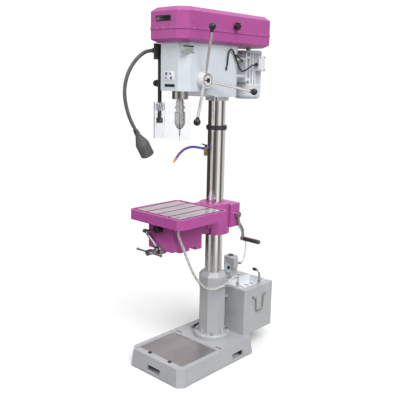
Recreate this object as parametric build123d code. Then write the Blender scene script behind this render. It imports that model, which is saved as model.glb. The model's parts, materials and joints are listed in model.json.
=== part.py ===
from build123d import *
import math
import os

# Floor-standing drill press. Millimetres, +Z up. The origin is on the floor, on the column's axis.
# The operator stands at -Y; +X is the operator's right. Each part is written to parts/NODE.step.

# ---- Driving dimensions ----
base_width = 404.0
base_front = -454.0
base_rear = 156.0
base_height = 97.0
base_corner = 30.0
base_draft = 10.0
base_wall = 16.0
base_deck = 34.0
centre_boss_radius = 60.0
foot_pad_height = 6.0
foot_pad_length = 70.0
base_recess_depth = 6.0
base_recess_front = -426.0
base_recess_rear = -136.0
base_recess_half = 165.0
anchor_slot_length = 50.0
anchor_slot_width = 13.0
anchor_slot_x = 150.0
base_hole_radius = 8.0
base_hole_x = 75.0
base_hole_y = -404.0
anchor_slot_y = -112.0

column_radius = 46.0
column_wall = 9.0
column_top = 1684.0
column_bottom = 112.0

foot_flats = 140.0
foot_band_flats = 150.0
foot_top_flats = 112.0
foot_flange_radius = 102.0
foot_flange_height = 26.0
foot_band_bottom = 388.0
foot_band_top = 452.0
foot_top = 476.0
foot_bolt_circle = 172.0
gusset_thickness = 12.0
foot_bolt_count = 4
bolt_head_radius = 10.0
bolt_head_height = 9.0

rack_width = 24.0
rack_thickness = 14.5
gear_module = 2.0
lift_pinion_teeth = 16
feed_pinion_teeth = 17
feed_pinion_half = 14.0
gear_backlash = 0.35
ring_wall = 7.0
ring_bottom = 1260.0
ring_height = 24.0

head_width = 200.0
head_front = -354.0
head_bottom_front = 1462.0
head_bottom_rear = 1434.0
head_top = 1690.0
head_corner = 42.0
head_wall = 18.0
collar_height = 21.0
collar_radius = 62.0

spindle_y = -277.0
quill_radius = 40.0
quill_bore = 27.0
quill_top = 1640.0
quill_bottom = 1422.0
quill_travel = 120.0
spindle_radius = 15.0
spindle_pulley_hub = 27.0
taper_top_radius = 18.5
chuck_top = 1387.0
chuck_nose = 1281.0
chuck_radius = 25.5
chuck_lip = 8.0
jaw_radius = 4.0
jaw_tilt = 12.0
drill_radius = 3.0
drill_tip = 1241.0

feed_z = 1516.0
feed_shaft_radius = 12.0
hub_radius = 41.5
hub_inner = 101.0
hub_outer = 130.0
spoke_radius = 7.0
spoke_lean = 24.0
spoke_reach = 253.0
first_spoke_angle = 108.0
ball_radius = 17.0

cover_width = 258.0
cover_front = -394.0
cover_rear = 306.0
cover_bottom = 1690.0
cover_seam = 1747.0
cover_top = 1850.0
cover_corner = 42.0
cover_edge = 22.0
cover_skin = 2.5
seam_band = 12.0

motor_y = 250.0
motor_radius = 74.0
motor_core_radius = 64.0
motor_bottom = 1420.0
cowl_top = 1488.0
motor_top = 1678.0
motor_fins = 28
motor_travel = 12.0
lever_pin_radius = 6.0
lever_y = 22.0
lever_z = 1640.0
motor_shaft_radius = 12.0
motor_mount_z = 1630.0
motor_mount_drop = 90.0
motor_rod_x = 42.0
motor_rod_radius = 9.0
belt_plane = 1770.0
pulley_steps = 4
pulley_step_height = 15.0
spindle_pulley_large = 84.0
motor_pulley_small = 26.0
pulley_step_growth = 8.0
belt_step = 1
belt_depth = 8.0

table_width = 374.0
table_front = -456.0
table_rear = -98.0
table_top = 864.0
table_thickness = 50.0
table_corner = 22.0
table_rim = 14.0
trough_width = 16.0
trough_depth = 12.0
slot_spacing = 78.0
slot_neck = 14.0
slot_head = 24.0
slot_head_height = 10.0
slot_depth = 24.0
flip_z = 785.0
trunnion_radius = 30.0

vise_half_width = 86.0
vise_front = -405.0
vise_rear = -192.0
vise_bottom = 660.0
vise_channel_half = 48.0
vise_screw_z = 678.0
vise_screw_radius = 11.0
vise_tip_radius = 8.0
cross_bar_y = -480.0
cross_bar_half = 84.0
jaw_block_rear = -266.0
jaw_block_length = 44.0
fixed_jaw_front = -236.0

bracket_bottom = 700.0
bracket_top = 868.0
bracket_radius = 84.0
crank_z = 801.0
crank_inner = 94.0
crank_reach_y = 40.0
crank_drop = 140.0
grip_length = 104.0
grip_radius = 12.0

tank_half_width = 155.0
tank_front = 106.0
tank_rear = 364.0
tank_top = 363.0
sheet_thickness = 1.5
side_strip_width = 44.0
drain_inlet = (66.0, 146.0)
return_stub_inset = 30.0
return_stub_y = 268.0
tray_rim = 1.5
tray_lip = 5.0
pump_x = -70.0
pump_y = 240.0
pump_width = 64.0
pump_top = 497.0

rod_x = -112.0
rod_y = -310.0
rod_half = 7.0
rod_bottom = 1300.0
rod_top = 1688.0
guard_bottom = 1228.0
guard_top = 1408.0
guard_half_width = 90.0
guard_front = -370.0
guard_rear = -292.0
guard_thickness = 3.0

lamp_x = -160.0
shade_radius = 35.0
shade_length = 150.0
neck_radius = 9.5
lamp_pivot_radius = 8.0
lamp_pivot_half = 5.0
lamp_pin_radius = 3.0
shade_collar_start = 13.0
switch_along = 22.0

tap_x = -62.0
tap_y = -12.0
tap_z = 1141.0

# ---- Clearances ----
running = 0.05
loose = 0.3
free_gap = 1.0


# ---- Plain shapes ----
def block(x0, x1, y0, y1, z0, z1):
    return Pos((x0 + x1) / 2, (y0 + y1) / 2, (z0 + z1) / 2) * Box(x1 - x0, y1 - y0, z1 - z0)


def upright(radius, x, y, z0, z1):
    return Pos(x, y, (z0 + z1) / 2) * Cylinder(radius, z1 - z0)


def rising_cone(low_radius, high_radius, height):
    """A cone that stands on its lower circle."""
    return Cone(low_radius, high_radius, height, align=(Align.CENTER, Align.CENTER, Align.MIN))


def across_x(towards):
    """A plane whose normal is +X and whose own X axis points along +Y or -Y."""
    return Plane(origin=(0, 0, 0), x_dir=(0, towards, 0), z_dir=(1, 0, 0))


def along_x(radius, y, z, x0, x1):
    return Pos((x0 + x1) / 2, y, z) * Rot(0, 90, 0) * Cylinder(radius, x1 - x0)


def along_y(radius, x, z, y0, y1):
    return Pos(x, (y0 + y1) / 2, z) * Rot(90, 0, 0) * Cylinder(radius, y1 - y0)


def cut_corner_outline(x0, x1, y0, y1, corner):
    """A rectangle in plan with its four corners cut at 45 degrees."""
    return Pos((x0 + x1) / 2, (y0 + y1) / 2) * chamfer(Rectangle(x1 - x0, y1 - y0).vertices(), corner)


def round_outline(x0, x1, y0, y1, corner):
    return Pos((x0 + x1) / 2, (y0 + y1) / 2) * RectangleRounded(x1 - x0, y1 - y0, corner)


def prism(outline, z0, z1):
    return Pos(0, 0, z0) * extrude(outline, z1 - z0)


def octagon(across_flats):
    return Rot(0, 0, 22.5) * RegularPolygon(across_flats / 2, 8, major_radius=False)


def knobbed_bar(start, end, radius, ball):
    """A round bar that carries a ball on its end."""
    path = Line(start, end)
    return bar_between(start, end, radius) + Plane(origin=path @ 1, z_dir=path % 1) * Sphere(ball)


def bar_between(start, end, radius):
    """A round bar from one point to another."""
    path = Line(start, end)
    return sweep(Plane(origin=path @ 0, z_dir=path % 0) * Circle(radius), path)


def corner_radii(points):
    """For each inner point of a route: 0.45 of its shorter run over the tangent of half its turn."""
    radii = []
    for before, here, after in zip(points, points[1:], points[2:]):
        first = Vector(*here) - Vector(*before)
        second = Vector(*after) - Vector(*here)
        half_turn = math.radians(first.get_angle(second)) / 2
        radii.append(0.45 * min(first.length, second.length) / math.tan(half_turn))
    return radii


def hose(name, points, radius):
    """A tube along straight runs joined by tangent arcs; prints its arcs, length and volume."""
    radii = corner_radii(points)
    path = FilletPolyline(*points, radius=radii)
    tube = sweep(Plane(origin=path @ 0, z_dir=path % 0) * Circle(radius), path)
    expected = math.pi * radius**2 * path.length
    print(name, "length", round(path.length, 1), "radii", [round(r) for r in radii])
    print(name, "volume ratio", round(tube.volume / expected, 4))
    return tube


def halfway(a, b):
    return tuple((p + q) / 2 for p, q in zip(a, b))


# ---- Gears ----
def gear_outline(teeth, module):
    """An involute spur gear outline with 20 degree flanks and thinned teeth."""
    pitch = teeth * module / 2
    base = pitch * math.cos(math.radians(20))
    tip = pitch + module
    root = pitch - 1.25 * module
    involute_at_pitch = math.tan(math.radians(20)) - math.radians(20)
    half_at_pitch = math.pi / (2 * teeth) - gear_backlash / pitch
    flank = []
    for step in range(5):
        radius = base + (tip - base) * step / 4
        roll = math.acos(base / radius)
        half = half_at_pitch + involute_at_pitch - (math.tan(roll) - roll)
        flank.append((radius, half))
    flank.insert(0, (root, flank[0][1]))
    points = []
    for tooth in range(teeth):
        centre = 2 * math.pi * tooth / teeth
        for radius, half in flank:
            points.append((radius * math.cos(centre - half), radius * math.sin(centre - half)))
        for radius, half in reversed(flank):
            points.append((radius * math.cos(centre + half), radius * math.sin(centre + half)))
    return make_face(Polyline(*points, close=True))


def rack_space(module):
    """The space between two rack teeth, opening towards +X from the pitch line at X = 0."""
    slope = math.tan(math.radians(20))
    half = math.pi * module / 4
    deep = 1.25 * module
    tall = 1.2 * module
    points = [
        (-deep, half - deep * slope),
        (tall, half + tall * slope),
        (tall, -half - tall * slope),
        (-deep, -half + deep * slope),
    ]
    return make_face(Polyline(*points, close=True))


def rack_cutters(pitch_y, mesh_z, z0, z1, width, facing):
    """Spaces across X for a rack on a vertical face; one space is centred at mesh_z."""
    pitch = math.pi * gear_module
    lowest = math.ceil((z0 - mesh_z) / pitch)
    highest = math.floor((z1 - mesh_z) / pitch)
    profile = rack_space(gear_module)
    tooth = extrude(across_x(facing) * profile, width, both=True)
    return [Pos(0, pitch_y, mesh_z + pitch * k) * tooth for k in range(lowest, highest + 1)]


def pinion(teeth, width, y, z, towards):
    """A spur pinion across X with one tooth pointing along +Y or -Y."""
    outline = gear_outline(teeth, gear_module)
    solid = extrude(across_x(towards) * outline, width / 2, both=True)
    return Pos(0, y, z) * solid


lift_pinion_radius = lift_pinion_teeth * gear_module / 2
feed_pinion_radius = feed_pinion_teeth * gear_module / 2
rack_inner = column_radius + 0.8
rack_pitch_y = rack_inner + rack_thickness - gear_module
crank_y = rack_pitch_y + lift_pinion_radius
quill_pitch_radius = quill_radius - gear_module
feed_y = spindle_y + quill_pitch_radius + feed_pinion_radius
foot_rack_seat = foot_top + loose
rack_top = ring_bottom - loose


# ---- Base, foot and column ----
def base_casting():
    half = base_width / 2
    outline = cut_corner_outline(-half, half, base_front, base_rear, base_corner)
    top = cut_corner_outline(
        -half + base_draft, half - base_draft, base_front + base_draft, base_rear - base_draft, base_corner
    )
    body = loft([outline, Pos(0, 0, base_height) * top])
    inner = cut_corner_outline(
        -half + base_wall, half - base_wall, base_front + base_wall, base_rear - base_wall, base_corner
    )
    body -= prism(inner, 0, base_height - base_deck)
    body = body + upright(centre_boss_radius, 0, 0, 0, base_height)
    body -= prism(
        round_outline(-base_recess_half, base_recess_half, base_recess_front, base_recess_rear, 10),
        base_height - base_recess_depth,
        base_height,
    )
    body -= base_relief()
    for x in (-base_hole_x, base_hole_x):
        body -= upright(base_hole_radius, x, base_hole_y, 0, base_height)
    for x in (-anchor_slot_x, anchor_slot_x):
        slot = SlotOverall(anchor_slot_length, anchor_slot_width)
        body -= prism(Pos(x, anchor_slot_y) * slot, 0, base_height)
    body -= block(-48, 48, base_front, base_front + 2 * base_wall, 18, 50)
    for side in (-1, 1):
        window = Pos(side * half, 0, 34) * Box(4 * base_wall, 90, 32)
        body -= window
    for bolt in bolt_places():
        body -= upright(5, bolt[0], bolt[1], base_height - base_deck, base_height)
    return body


def base_relief():
    """Shallow cuts under the walls that leave a pad at each corner."""
    half = base_width / 2
    x_cut = half - foot_pad_length
    front = base_front + foot_pad_length
    rear = base_rear - foot_pad_length
    across = block(-x_cut, x_cut, base_front, base_rear, 0, foot_pad_height)
    along = block(-half, half, front, rear, 0, foot_pad_height)
    return across + along - upright(centre_boss_radius, 0, 0, 0, foot_pad_height)


def tee_slot(x, y0, y1, surface):
    """The empty space of a T-slot along Y below a machined surface."""
    neck = block(x - slot_neck / 2, x + slot_neck / 2, y0, y1, surface - slot_depth, surface)
    low = surface - slot_depth
    return neck + block(x - slot_head / 2, x + slot_head / 2, y0, y1, low, low + slot_head_height)


def bolt_places():
    radius = foot_bolt_circle / 2
    angles = [45 + 360 * k / foot_bolt_count for k in range(foot_bolt_count)]
    return [(radius * math.cos(math.radians(a)), radius * math.sin(math.radians(a))) for a in angles]


def column_foot():
    flange = upright(foot_flange_radius, 0, 0, base_height, base_height + foot_flange_height)
    flange = chamfer(flange.edges().group_by(Axis.Z)[-1], 7)
    shaft = prism(octagon(foot_flats), base_height, foot_band_bottom)
    band = prism(octagon(foot_band_flats), foot_band_bottom, foot_band_top)
    shoulder_low = Pos(0, 0, foot_band_top) * octagon(foot_band_flats)
    shoulder = loft([shoulder_low, Pos(0, 0, foot_top) * octagon(foot_top_flats)])
    foot = flange + shaft + band + shoulder + foot_gussets()
    foot -= upright(column_radius, 0, 0, column_bottom, foot_top)
    foot -= upright(column_radius - 14, 0, 0, base_height, column_bottom)
    for x, y in bolt_places():
        foot -= upright(5, x, y, base_height, base_height + foot_flange_height)
    return foot


def foot_gussets():
    """Four ribs that stiffen the flange, between the bolts."""
    low = base_height + foot_flange_height - 1
    reach = foot_flange_radius - 12
    profile = Polyline((foot_flats / 2 - 2, low), (reach, low), (foot_flats / 2 - 2, low + 34), close=True)
    rib = extrude(Plane.XZ * make_face(profile), gusset_thickness / 2, both=True)
    return [Rot(0, 0, 90 * k) * rib for k in range(4)]


def hex_bolt(x, y, seat, shank):
    head = Pos(x, y, seat) * extrude(RegularPolygon(bolt_head_radius, 6), bolt_head_height)
    return head + upright(5, x, y, seat - shank, seat)


def fasteners():
    """Hexagon bolts of the foot, and the two clamp bolts under the rear of the head."""
    seat = base_height + foot_flange_height
    bolts = [hex_bolt(x, y, seat, foot_flange_height + base_deck - 6) for x, y in bolt_places()]
    for y in (-72, -96):
        bolts.append(Pos(0, 0, head_bottom_rear - 18) * extrude(Pos(64, y) * RegularPolygon(9, 6), 17.9))
    return Compound(children=bolts)


def column():
    tube = upright(column_radius, 0, 0, column_bottom, column_top)
    return tube - upright(column_radius - column_wall, 0, 0, column_bottom, column_top)


def rack_ring():
    outer = column_radius + ring_wall
    ring = upright(outer, 0, 0, ring_bottom, ring_bottom + ring_height)
    side = rack_width / 2 + 6
    lip_rear = rack_inner + rack_thickness + 2
    lip = block(-side, side, column_radius - 6, lip_rear, ring_bottom, ring_bottom + ring_height)
    ring = ring + lip
    middle = ring_bottom + ring_height / 2
    for angle in (-160, -45, 20):
        ring = ring + Rot(0, 0, angle) * along_x(6, 0, middle, outer - 4, outer + 5)
    return ring - upright(column_radius, 0, 0, ring_bottom, ring_bottom + ring_height)


def rack():
    outer = rack_inner + rack_thickness
    bar = block(-rack_width / 2, rack_width / 2, rack_inner, outer, foot_rack_seat, rack_top)
    cutters = rack_cutters(rack_pitch_y, crank_z, foot_rack_seat + 12, rack_top - 12, rack_width, 1)
    return bar - cutters


# ---- Head ----
def head_outline(inset):
    half = head_width / 2 - inset
    front = head_front + inset
    front_part = cut_corner_outline(-half, half, front, 60, head_corner - inset * 0.4)
    keep = Pos(0, front / 2) * Rectangle(2 * half, -front)
    return (front_part & keep) + Circle(half)


def head_casting():
    body = prism(head_outline(0), head_bottom_rear, head_top)
    body -= block(-head_width, head_width, head_front - 1, -236, head_bottom_rear, head_bottom_front)
    ramp_points = [(-236, head_bottom_front), (-120, head_bottom_rear), (-236, head_bottom_rear)]
    ramp = extrude(Plane.YZ * make_face(Polyline(*ramp_points, close=True)), head_width, both=True)
    body -= ramp
    room = prism(head_outline(head_wall), head_bottom_front + 26, head_top - 16)
    room -= upright(column_radius + 20, 0, 0, head_bottom_rear, head_top)
    room -= upright(quill_radius + 16, 0, spindle_y, head_bottom_rear, quill_top - 30)
    body -= room
    body -= upright(column_radius, 0, 0, head_bottom_rear, column_top)
    body -= upright(quill_radius + running, 0, spindle_y, head_bottom_rear, quill_top + 2)
    body -= upright(spindle_pulley_hub + free_gap, 0, spindle_y, quill_top, head_top)
    body -= feed_pocket()
    for x, z in motor_rod_places():
        body -= along_y(motor_rod_radius + running, x, z, 56, 110)
    body -= along_x(lever_pin_radius + running, lever_y, lever_z, 60, head_width)
    body -= along_x(7, -52, 1571, 70, head_width)
    return body


def motor_rod_places():
    heights = (motor_mount_z, motor_mount_z - motor_mount_drop)
    return [(x, z) for x in (-motor_rod_x, motor_rod_x) for z in heights]


def feed_pocket():
    """Bore for the feed shaft and the chamber where its pinion meets the quill."""
    reach = feed_pinion_radius + gear_module + free_gap
    bore = along_x(feed_shaft_radius + running, feed_y, feed_z, -head_width, head_width)
    return bore + along_x(reach, feed_y, feed_z, -feed_pinion_half - 2, feed_pinion_half + 2)


def head_collar():
    ring = upright(collar_radius, 0, 0, head_bottom_rear - collar_height, head_bottom_rear)
    ring = chamfer(ring.edges().group_by(Axis.Z)[0], 4)
    return ring - upright(column_radius, 0, 0, 0, head_top)


def spring_housing():
    """The drum on the left of the head that holds the quill's return spring."""
    left = -head_width / 2
    drum = along_x(36, feed_y, feed_z, left - 26, left)
    drum = fillet(drum.edges().group_by(Axis.X)[0], 5)
    return drum - along_x(feed_shaft_radius + loose, feed_y, feed_z, left - 18, left)


def control_box():
    left = -head_width / 2
    box = block(left - 34, left, -150, -70, 1530, 1660)
    return fillet(box.edges().group_by(Axis.X)[0], 4)


def power_switch():
    x = -head_width / 2 - 34
    dial = along_x(16, -110, 1625, x - 8, x)
    grip = block(x - 20, x - 8, -114, -106, 1611, 1639)
    return dial + grip


# ---- Quill, spindle and chuck ----
def quill():
    body = upright(quill_radius, 0, spindle_y, quill_bottom, quill_top)
    body = chamfer(body.edges().group_by(Axis.Z)[0], 3)
    body -= upright(quill_bore, 0, spindle_y, quill_bottom, quill_top)
    top_ring = upright(quill_bore + 1, 0, spindle_y, quill_top - 16, quill_top)
    low_ring = upright(quill_bore + 1, 0, spindle_y, quill_bottom, quill_bottom + 20)
    bore = upright(spindle_radius + running, 0, spindle_y, quill_bottom, quill_top)
    body = body + (top_ring + low_ring - bore)
    pitch_y = spindle_y + quill_pitch_radius
    low = quill_bottom + 36
    cutters = rack_cutters(pitch_y, feed_z, low, quill_top + 2 * gear_module, feed_pinion_half, 1)
    return body - cutters


def spindle():
    """The rotating spindle inside the quill, with the nose that carries the chuck."""
    shaft = upright(spindle_radius, 0, spindle_y, quill_bottom - 6, cover_seam - 6)
    nose = Pos(0, spindle_y, chuck_top) * extrude(Circle(taper_top_radius), quill_bottom - 6 - chuck_top)
    nose = chamfer(nose.edges().group_by(Axis.Z)[0], 1.5)
    return shaft + nose


def chuck_body():
    """Top flange, neck and the cone that guides the three jaws."""
    flange = upright(24.5, 0, spindle_y, chuck_top - 10, chuck_top)
    neck = upright(18.5, 0, spindle_y, chuck_top - 27, chuck_top - 10)
    core = upright(17, 0, spindle_y, chuck_nose + chuck_lip, chuck_top - 27)
    body = flange + neck + core
    body -= upright(drill_radius + jaw_radius, 0, spindle_y, chuck_nose, chuck_nose + 48)
    for index in range(3):
        body -= jaw_bar(index, jaw_radius + loose, 70, 20)
    return body


def jaw_bar(index, radius, length, below=0):
    """A round bar in a jaw's inclined bore: it leans outwards as it rises."""
    tip = Pos(0, spindle_y, chuck_nose) * Rot(0, 0, 90 + 120 * index)
    lean = Pos(drill_radius + jaw_radius - 1.2, 0, 0) * Rot(0, jaw_tilt, 0)
    return tip * lean * Pos(0, 0, (length - below) / 2) * Cylinder(radius, length + below)


def chuck_jaws():
    clear = upright(drill_radius, 0, spindle_y, drill_tip, chuck_top)
    slice_above = upright(60, 0, spindle_y, chuck_nose - 6, chuck_nose + 30)
    jaws = []
    for index in range(3):
        side = Pos(0, spindle_y, chuck_nose - 6) * Rot(0, 0, 90 + 120 * index)
        sector = make_face(Polyline((0.5, 0), (40, 65), (40, -65), close=True))
        jaw = (jaw_bar(index, jaw_radius, 50, 10) & slice_above) - clear
        jaws.append(jaw & (side * extrude(sector, 60)))
    return Compound(children=jaws)


def chuck_sleeve():
    """The knurled sleeve that opens and closes the jaws."""
    top = chuck_top - 27 - loose
    sleeve = upright(chuck_radius, 0, spindle_y, chuck_nose + 22, top)
    sleeve = chamfer(sleeve.edges(), 1.5)
    nose = Pos(0, spindle_y, chuck_nose) * rising_cone(15, 24.5, 22)
    sleeve = sleeve + nose
    sleeve -= upright(17 + running, 0, spindle_y, chuck_nose + chuck_lip - running, chuck_top)
    sleeve -= upright(13, 0, spindle_y, chuck_nose, chuck_nose + chuck_lip)
    for index in range(24):
        groove = Rot(0, 0, 15 * index) * Pos(chuck_radius, 0, 0) * Cylinder(0.9, top - chuck_nose - 28)
        sleeve -= Pos(0, spindle_y, (chuck_nose + 24 + top) / 2) * groove
    return sleeve


def drill_bit():
    shank = upright(drill_radius, 0, spindle_y, drill_tip + 14, chuck_nose + 46)
    point = Pos(0, spindle_y, drill_tip) * rising_cone(0.4, drill_radius, 3)
    body = upright(drill_radius, 0, spindle_y, drill_tip + 3, drill_tip + 14)
    for side in (-1, 1):
        flute = Pos(side * drill_radius, spindle_y, drill_tip + 16) * Cylinder(1.2, 26)
        body -= flute
    return shank + body + point


# ---- Feed ----
def feed_shaft():
    reach = head_width / 2
    shaft = along_x(feed_shaft_radius, feed_y, feed_z, -reach - 17, hub_outer - 8)
    gear = pinion(feed_pinion_teeth, 2 * feed_pinion_half, feed_y, feed_z, -1)
    turned = along_x(feed_pinion_radius - 1.25 * gear_module - 1, feed_y, feed_z, -15, 15)
    middle = along_x(feed_shaft_radius + 1, feed_y, feed_z, -feed_pinion_half, feed_pinion_half)
    return (shaft - middle) + turned + gear


def feed_hub():
    hub = along_x(hub_radius, feed_y, feed_z, hub_inner, hub_outer)
    hub = fillet(hub.edges().group_by(Axis.X)[-1], 4)
    rim = along_x(hub_radius + 3, feed_y, feed_z, hub_inner, hub_inner + 7)
    dial = along_x(26, feed_y, feed_z, hub_outer, hub_outer + 2)
    hub = hub + rim + dial
    for index in range(3):
        hub -= spoke_bar(index, spoke_radius, 18, 60)
    return hub - along_x(feed_shaft_radius, feed_y, feed_z, hub_inner, hub_outer - 8)


def spoke_frame(index):
    """A frame at the hub's centre whose X axis runs out along a spoke."""
    angle = first_spoke_angle + 120 * index
    lean = math.radians(spoke_lean)
    turn = math.radians(angle)
    out = (math.sin(lean), math.cos(lean) * math.cos(turn), math.cos(lean) * math.sin(turn))
    return Plane(origin=((hub_inner + hub_outer) / 2 - 4, feed_y, feed_z), z_dir=out)


def spoke_bar(index, radius, start, end):
    return spoke_frame(index) * Pos(0, 0, (start + end) / 2) * Cylinder(radius, end - start)


def ball_distance():
    return spoke_reach / math.cos(math.radians(spoke_lean))


def feed_spokes():
    end = ball_distance() - 6
    return Compound(children=[spoke_bar(index, spoke_radius, 18, end) for index in range(3)])


def feed_knobs():
    knobs = []
    for index in range(3):
        place = spoke_frame(index)
        ball = place * Pos(0, 0, ball_distance()) * Sphere(ball_radius)
        neck = place * Pos(0, 0, ball_distance() - 17) * Cylinder(9, 14)
        knobs.append(ball + neck - spoke_bar(index, spoke_radius, 0, ball_distance() - 6))
    return Compound(children=knobs)


# ---- Belt cover and drive ----
def cover_shell(z0, z1, edge_low, edge_high):
    """The cover's outer form between two heights, with a bevelled lower or upper edge."""
    half = cover_width / 2
    full = cut_corner_outline(-half, half, cover_front, cover_rear, cover_corner)
    inset = half - cover_edge
    small = cut_corner_outline(-inset, inset, cover_front + cover_edge, cover_rear - cover_edge, cover_corner)
    solid = prism(full, z0 + edge_low, z1 - edge_high)
    if edge_low:
        solid = solid + loft([Pos(0, 0, z0) * small, Pos(0, 0, z0 + edge_low) * full])
    if edge_high:
        solid = solid + loft([Pos(0, 0, z1 - edge_high) * full, Pos(0, 0, z1) * small])
    return solid


def hollow(solid, opening_axis_end):
    face = solid.faces().sort_by(Axis.Z)[opening_axis_end]
    return offset(solid, amount=-cover_skin, openings=face)


def cover_tray():
    tray = hollow(cover_shell(cover_bottom, cover_seam, 14, 0), -1)
    tray -= upright(spindle_pulley_hub + 3, 0, spindle_y, cover_bottom - 1, cover_seam)
    slot_width = 2 * (motor_shaft_radius + 8)
    slot = SlotOverall(slot_width + motor_travel + 6, slot_width, rotation=90)
    tray -= prism(Pos(0, motor_y - motor_travel / 2) * slot, cover_bottom - 1, cover_seam)
    return tray + hinge_ears()


def hinge_axis():
    return (-cover_width / 2 - 5, cover_seam + seam_band / 2)


def hinge_ears():
    x, z = hinge_axis()
    ears = []
    for y in (-240, 160):
        ear = along_y(4.5, x, z, y, y + 14) + block(x - 2, -cover_width / 2 + 1, y, y + 14, z - 14, z)
        ears.append(ear - along_y(2, x, z, y, y + 14))
    outside = ears[0] + ears[1]
    half = cover_width / 2
    return outside - block(-half - 0.5, half, cover_front, cover_rear, cover_seam, cover_top)


def cover_lid():
    lid = hollow(cover_shell(cover_seam + loose, cover_top, 0, 20), 0)
    half = cover_width / 2
    band = cut_corner_outline(-half - 2, half + 2, cover_front - 2, cover_rear + 2, cover_corner)
    band_solid = prism(band, cover_seam + loose, cover_seam + seam_band)
    inside = cut_corner_outline(-half + 1, half - 1, cover_front + 1, cover_rear - 1, cover_corner)
    lid = lid + (band_solid - prism(inside, cover_seam, cover_seam + seam_band))
    x, z = hinge_axis()
    for y in (-240, 160):
        lid -= block(x - 6, -cover_width / 2 - 0.1, y - loose, y + 14 + loose, cover_seam, z + 6)
        start = y + 14 + loose
        knuckle = along_y(4.5, x, z, start, y + 34) + block(x, -half, start, y + 34, z - 3, z + 3)
        lid = lid + knuckle + along_y(2 - running, x, z, y, y + 20)
    return lid


def lid_knob():
    """A lobed hand knob on the right side of the lid."""
    x = cover_width / 2 + 2
    y, z = -26, cover_seam + 34
    knob = along_x(15, y, z, x + 8, x + 24)
    for lobe in range(6):
        angle = math.radians(60 * lobe)
        knob = knob + along_x(5, y + 14 * math.cos(angle), z + 14 * math.sin(angle), x + 8, x + 24)
    return knob + along_x(8, y, z, x - 2, x + 8)


def step_pulley(x, y, largest_first, base_z):
    """A stack of V-grooved steps; the radii run up or down with height."""
    radii = [spindle_pulley_large - pulley_step_growth * k for k in range(pulley_steps)]
    if not largest_first:
        radii = [motor_pulley_small + pulley_step_growth * k for k in range(pulley_steps)]
    solid = None
    for index, radius in enumerate(radii):
        low = base_z + index * pulley_step_height
        disc = upright(radius, x, y, low, low + pulley_step_height)
        solid = disc if solid is None else solid + disc
    for index, radius in enumerate(radii):
        low = base_z + index * pulley_step_height
        solid -= Pos(x, y, low + pulley_step_height / 2) * groove_ring(radius, loose)
    return solid


def groove_ring(radius, extra):
    """The ring cut for a V-belt that lies flush with a pulley of this radius."""
    half = 5 + extra
    floor = radius - belt_depth - extra
    points = [(floor, half - 2.6), (radius + 1, half), (radius + 1, -half), (floor, -half + 2.6)]
    return revolve(Plane.XZ * make_face(Polyline(*points, close=True)), Axis.Z)


def pulley_base():
    return belt_plane - pulley_step_height * (belt_step + 0.5)


def spindle_pulley():
    body = step_pulley(0, spindle_y, True, pulley_base())
    sleeve = upright(spindle_pulley_hub, 0, spindle_y, quill_top + 4, pulley_base())
    body = body + sleeve
    return body - upright(spindle_radius + running, 0, spindle_y, quill_top, cover_top)


def motor_pulley():
    body = step_pulley(0, motor_y, False, pulley_base())
    shaft = upright(motor_shaft_radius, 0, motor_y, motor_top - 30, pulley_base())
    return body + shaft


def belt_radii():
    spindle_side = spindle_pulley_large - pulley_step_growth * belt_step
    motor_side = motor_pulley_small + pulley_step_growth * belt_step
    return spindle_side, motor_side


def belt():
    """A V-belt round the chosen steps, its outer face flush with their rims."""
    large, small = belt_radii()
    driven = Pos(0, spindle_y) * Circle(large)
    driving = Pos(0, motor_y) * Circle(small)
    outer = make_hull([*driven.edges(), *driving.edges()])
    inner = offset(outer, amount=-belt_depth)
    low = belt_plane - 4.4
    solid = prism(outer, low, belt_plane + 4.4) - prism(inner, low, belt_plane + 4.4)
    return trim_belt_sides(solid)


def trim_belt_sides(solid):
    """Gives the belt's sides their V inside both pulley grooves."""
    large, small = belt_radii()
    spindle_core = Pos(0, spindle_y, belt_plane) * groove_core(large)
    motor_core = Pos(0, motor_y, belt_plane) * groove_core(small)
    return solid - spindle_core - motor_core


def groove_core(radius):
    """What a pulley of this radius fills beside its V groove, with a small gap."""
    outer = upright(radius + 2, 0, 0, -7, 7)
    return outer - groove_ring(radius + 1.5, -loose)


# ---- Motor ----
def motor_frame():
    body = upright(motor_core_radius, 0, motor_y, cowl_top, motor_top)
    body = body + upright(motor_radius, 0, motor_y, cowl_top, cowl_top + 10)
    body = body + upright(motor_radius, 0, motor_y, motor_top - 14, motor_top)
    span = motor_radius - motor_core_radius + 4
    for index in range(motor_fins):
        fin = Pos(motor_core_radius + span / 2 - 4, 0, 0) * Box(span, 2.4, motor_top - cowl_top - 20)
        angle = 360 * (index + 0.5) / motor_fins
        body = body + Pos(0, motor_y, (motor_top + cowl_top) / 2) * Rot(0, 0, angle) * fin
    terminal = block(58, 96, motor_y - 22, motor_y + 30, 1570, 1650)
    body = body + fillet(terminal.edges().group_by(Axis.X)[-1], 4) + motor_plate()
    return body - upright(motor_shaft_radius + running, 0, motor_y, motor_top - 30, motor_top)


def fan_cowl():
    cowl = upright(motor_radius - 1, 0, motor_y, motor_bottom, cowl_top)
    cowl = fillet(cowl.edges().group_by(Axis.Z)[0], 22)
    cowl -= upright(motor_core_radius - 6, 0, motor_y, motor_bottom + 24, cowl_top)
    for ring in (1, 2):
        for index in range(8 * ring):
            angle = math.radians(360 * index / (8 * ring))
            x = 17 * ring * math.cos(angle)
            y = motor_y + 17 * ring * math.sin(angle)
            cowl -= upright(3, x, y, motor_bottom - 1, motor_bottom + 30)
    return cowl


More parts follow.
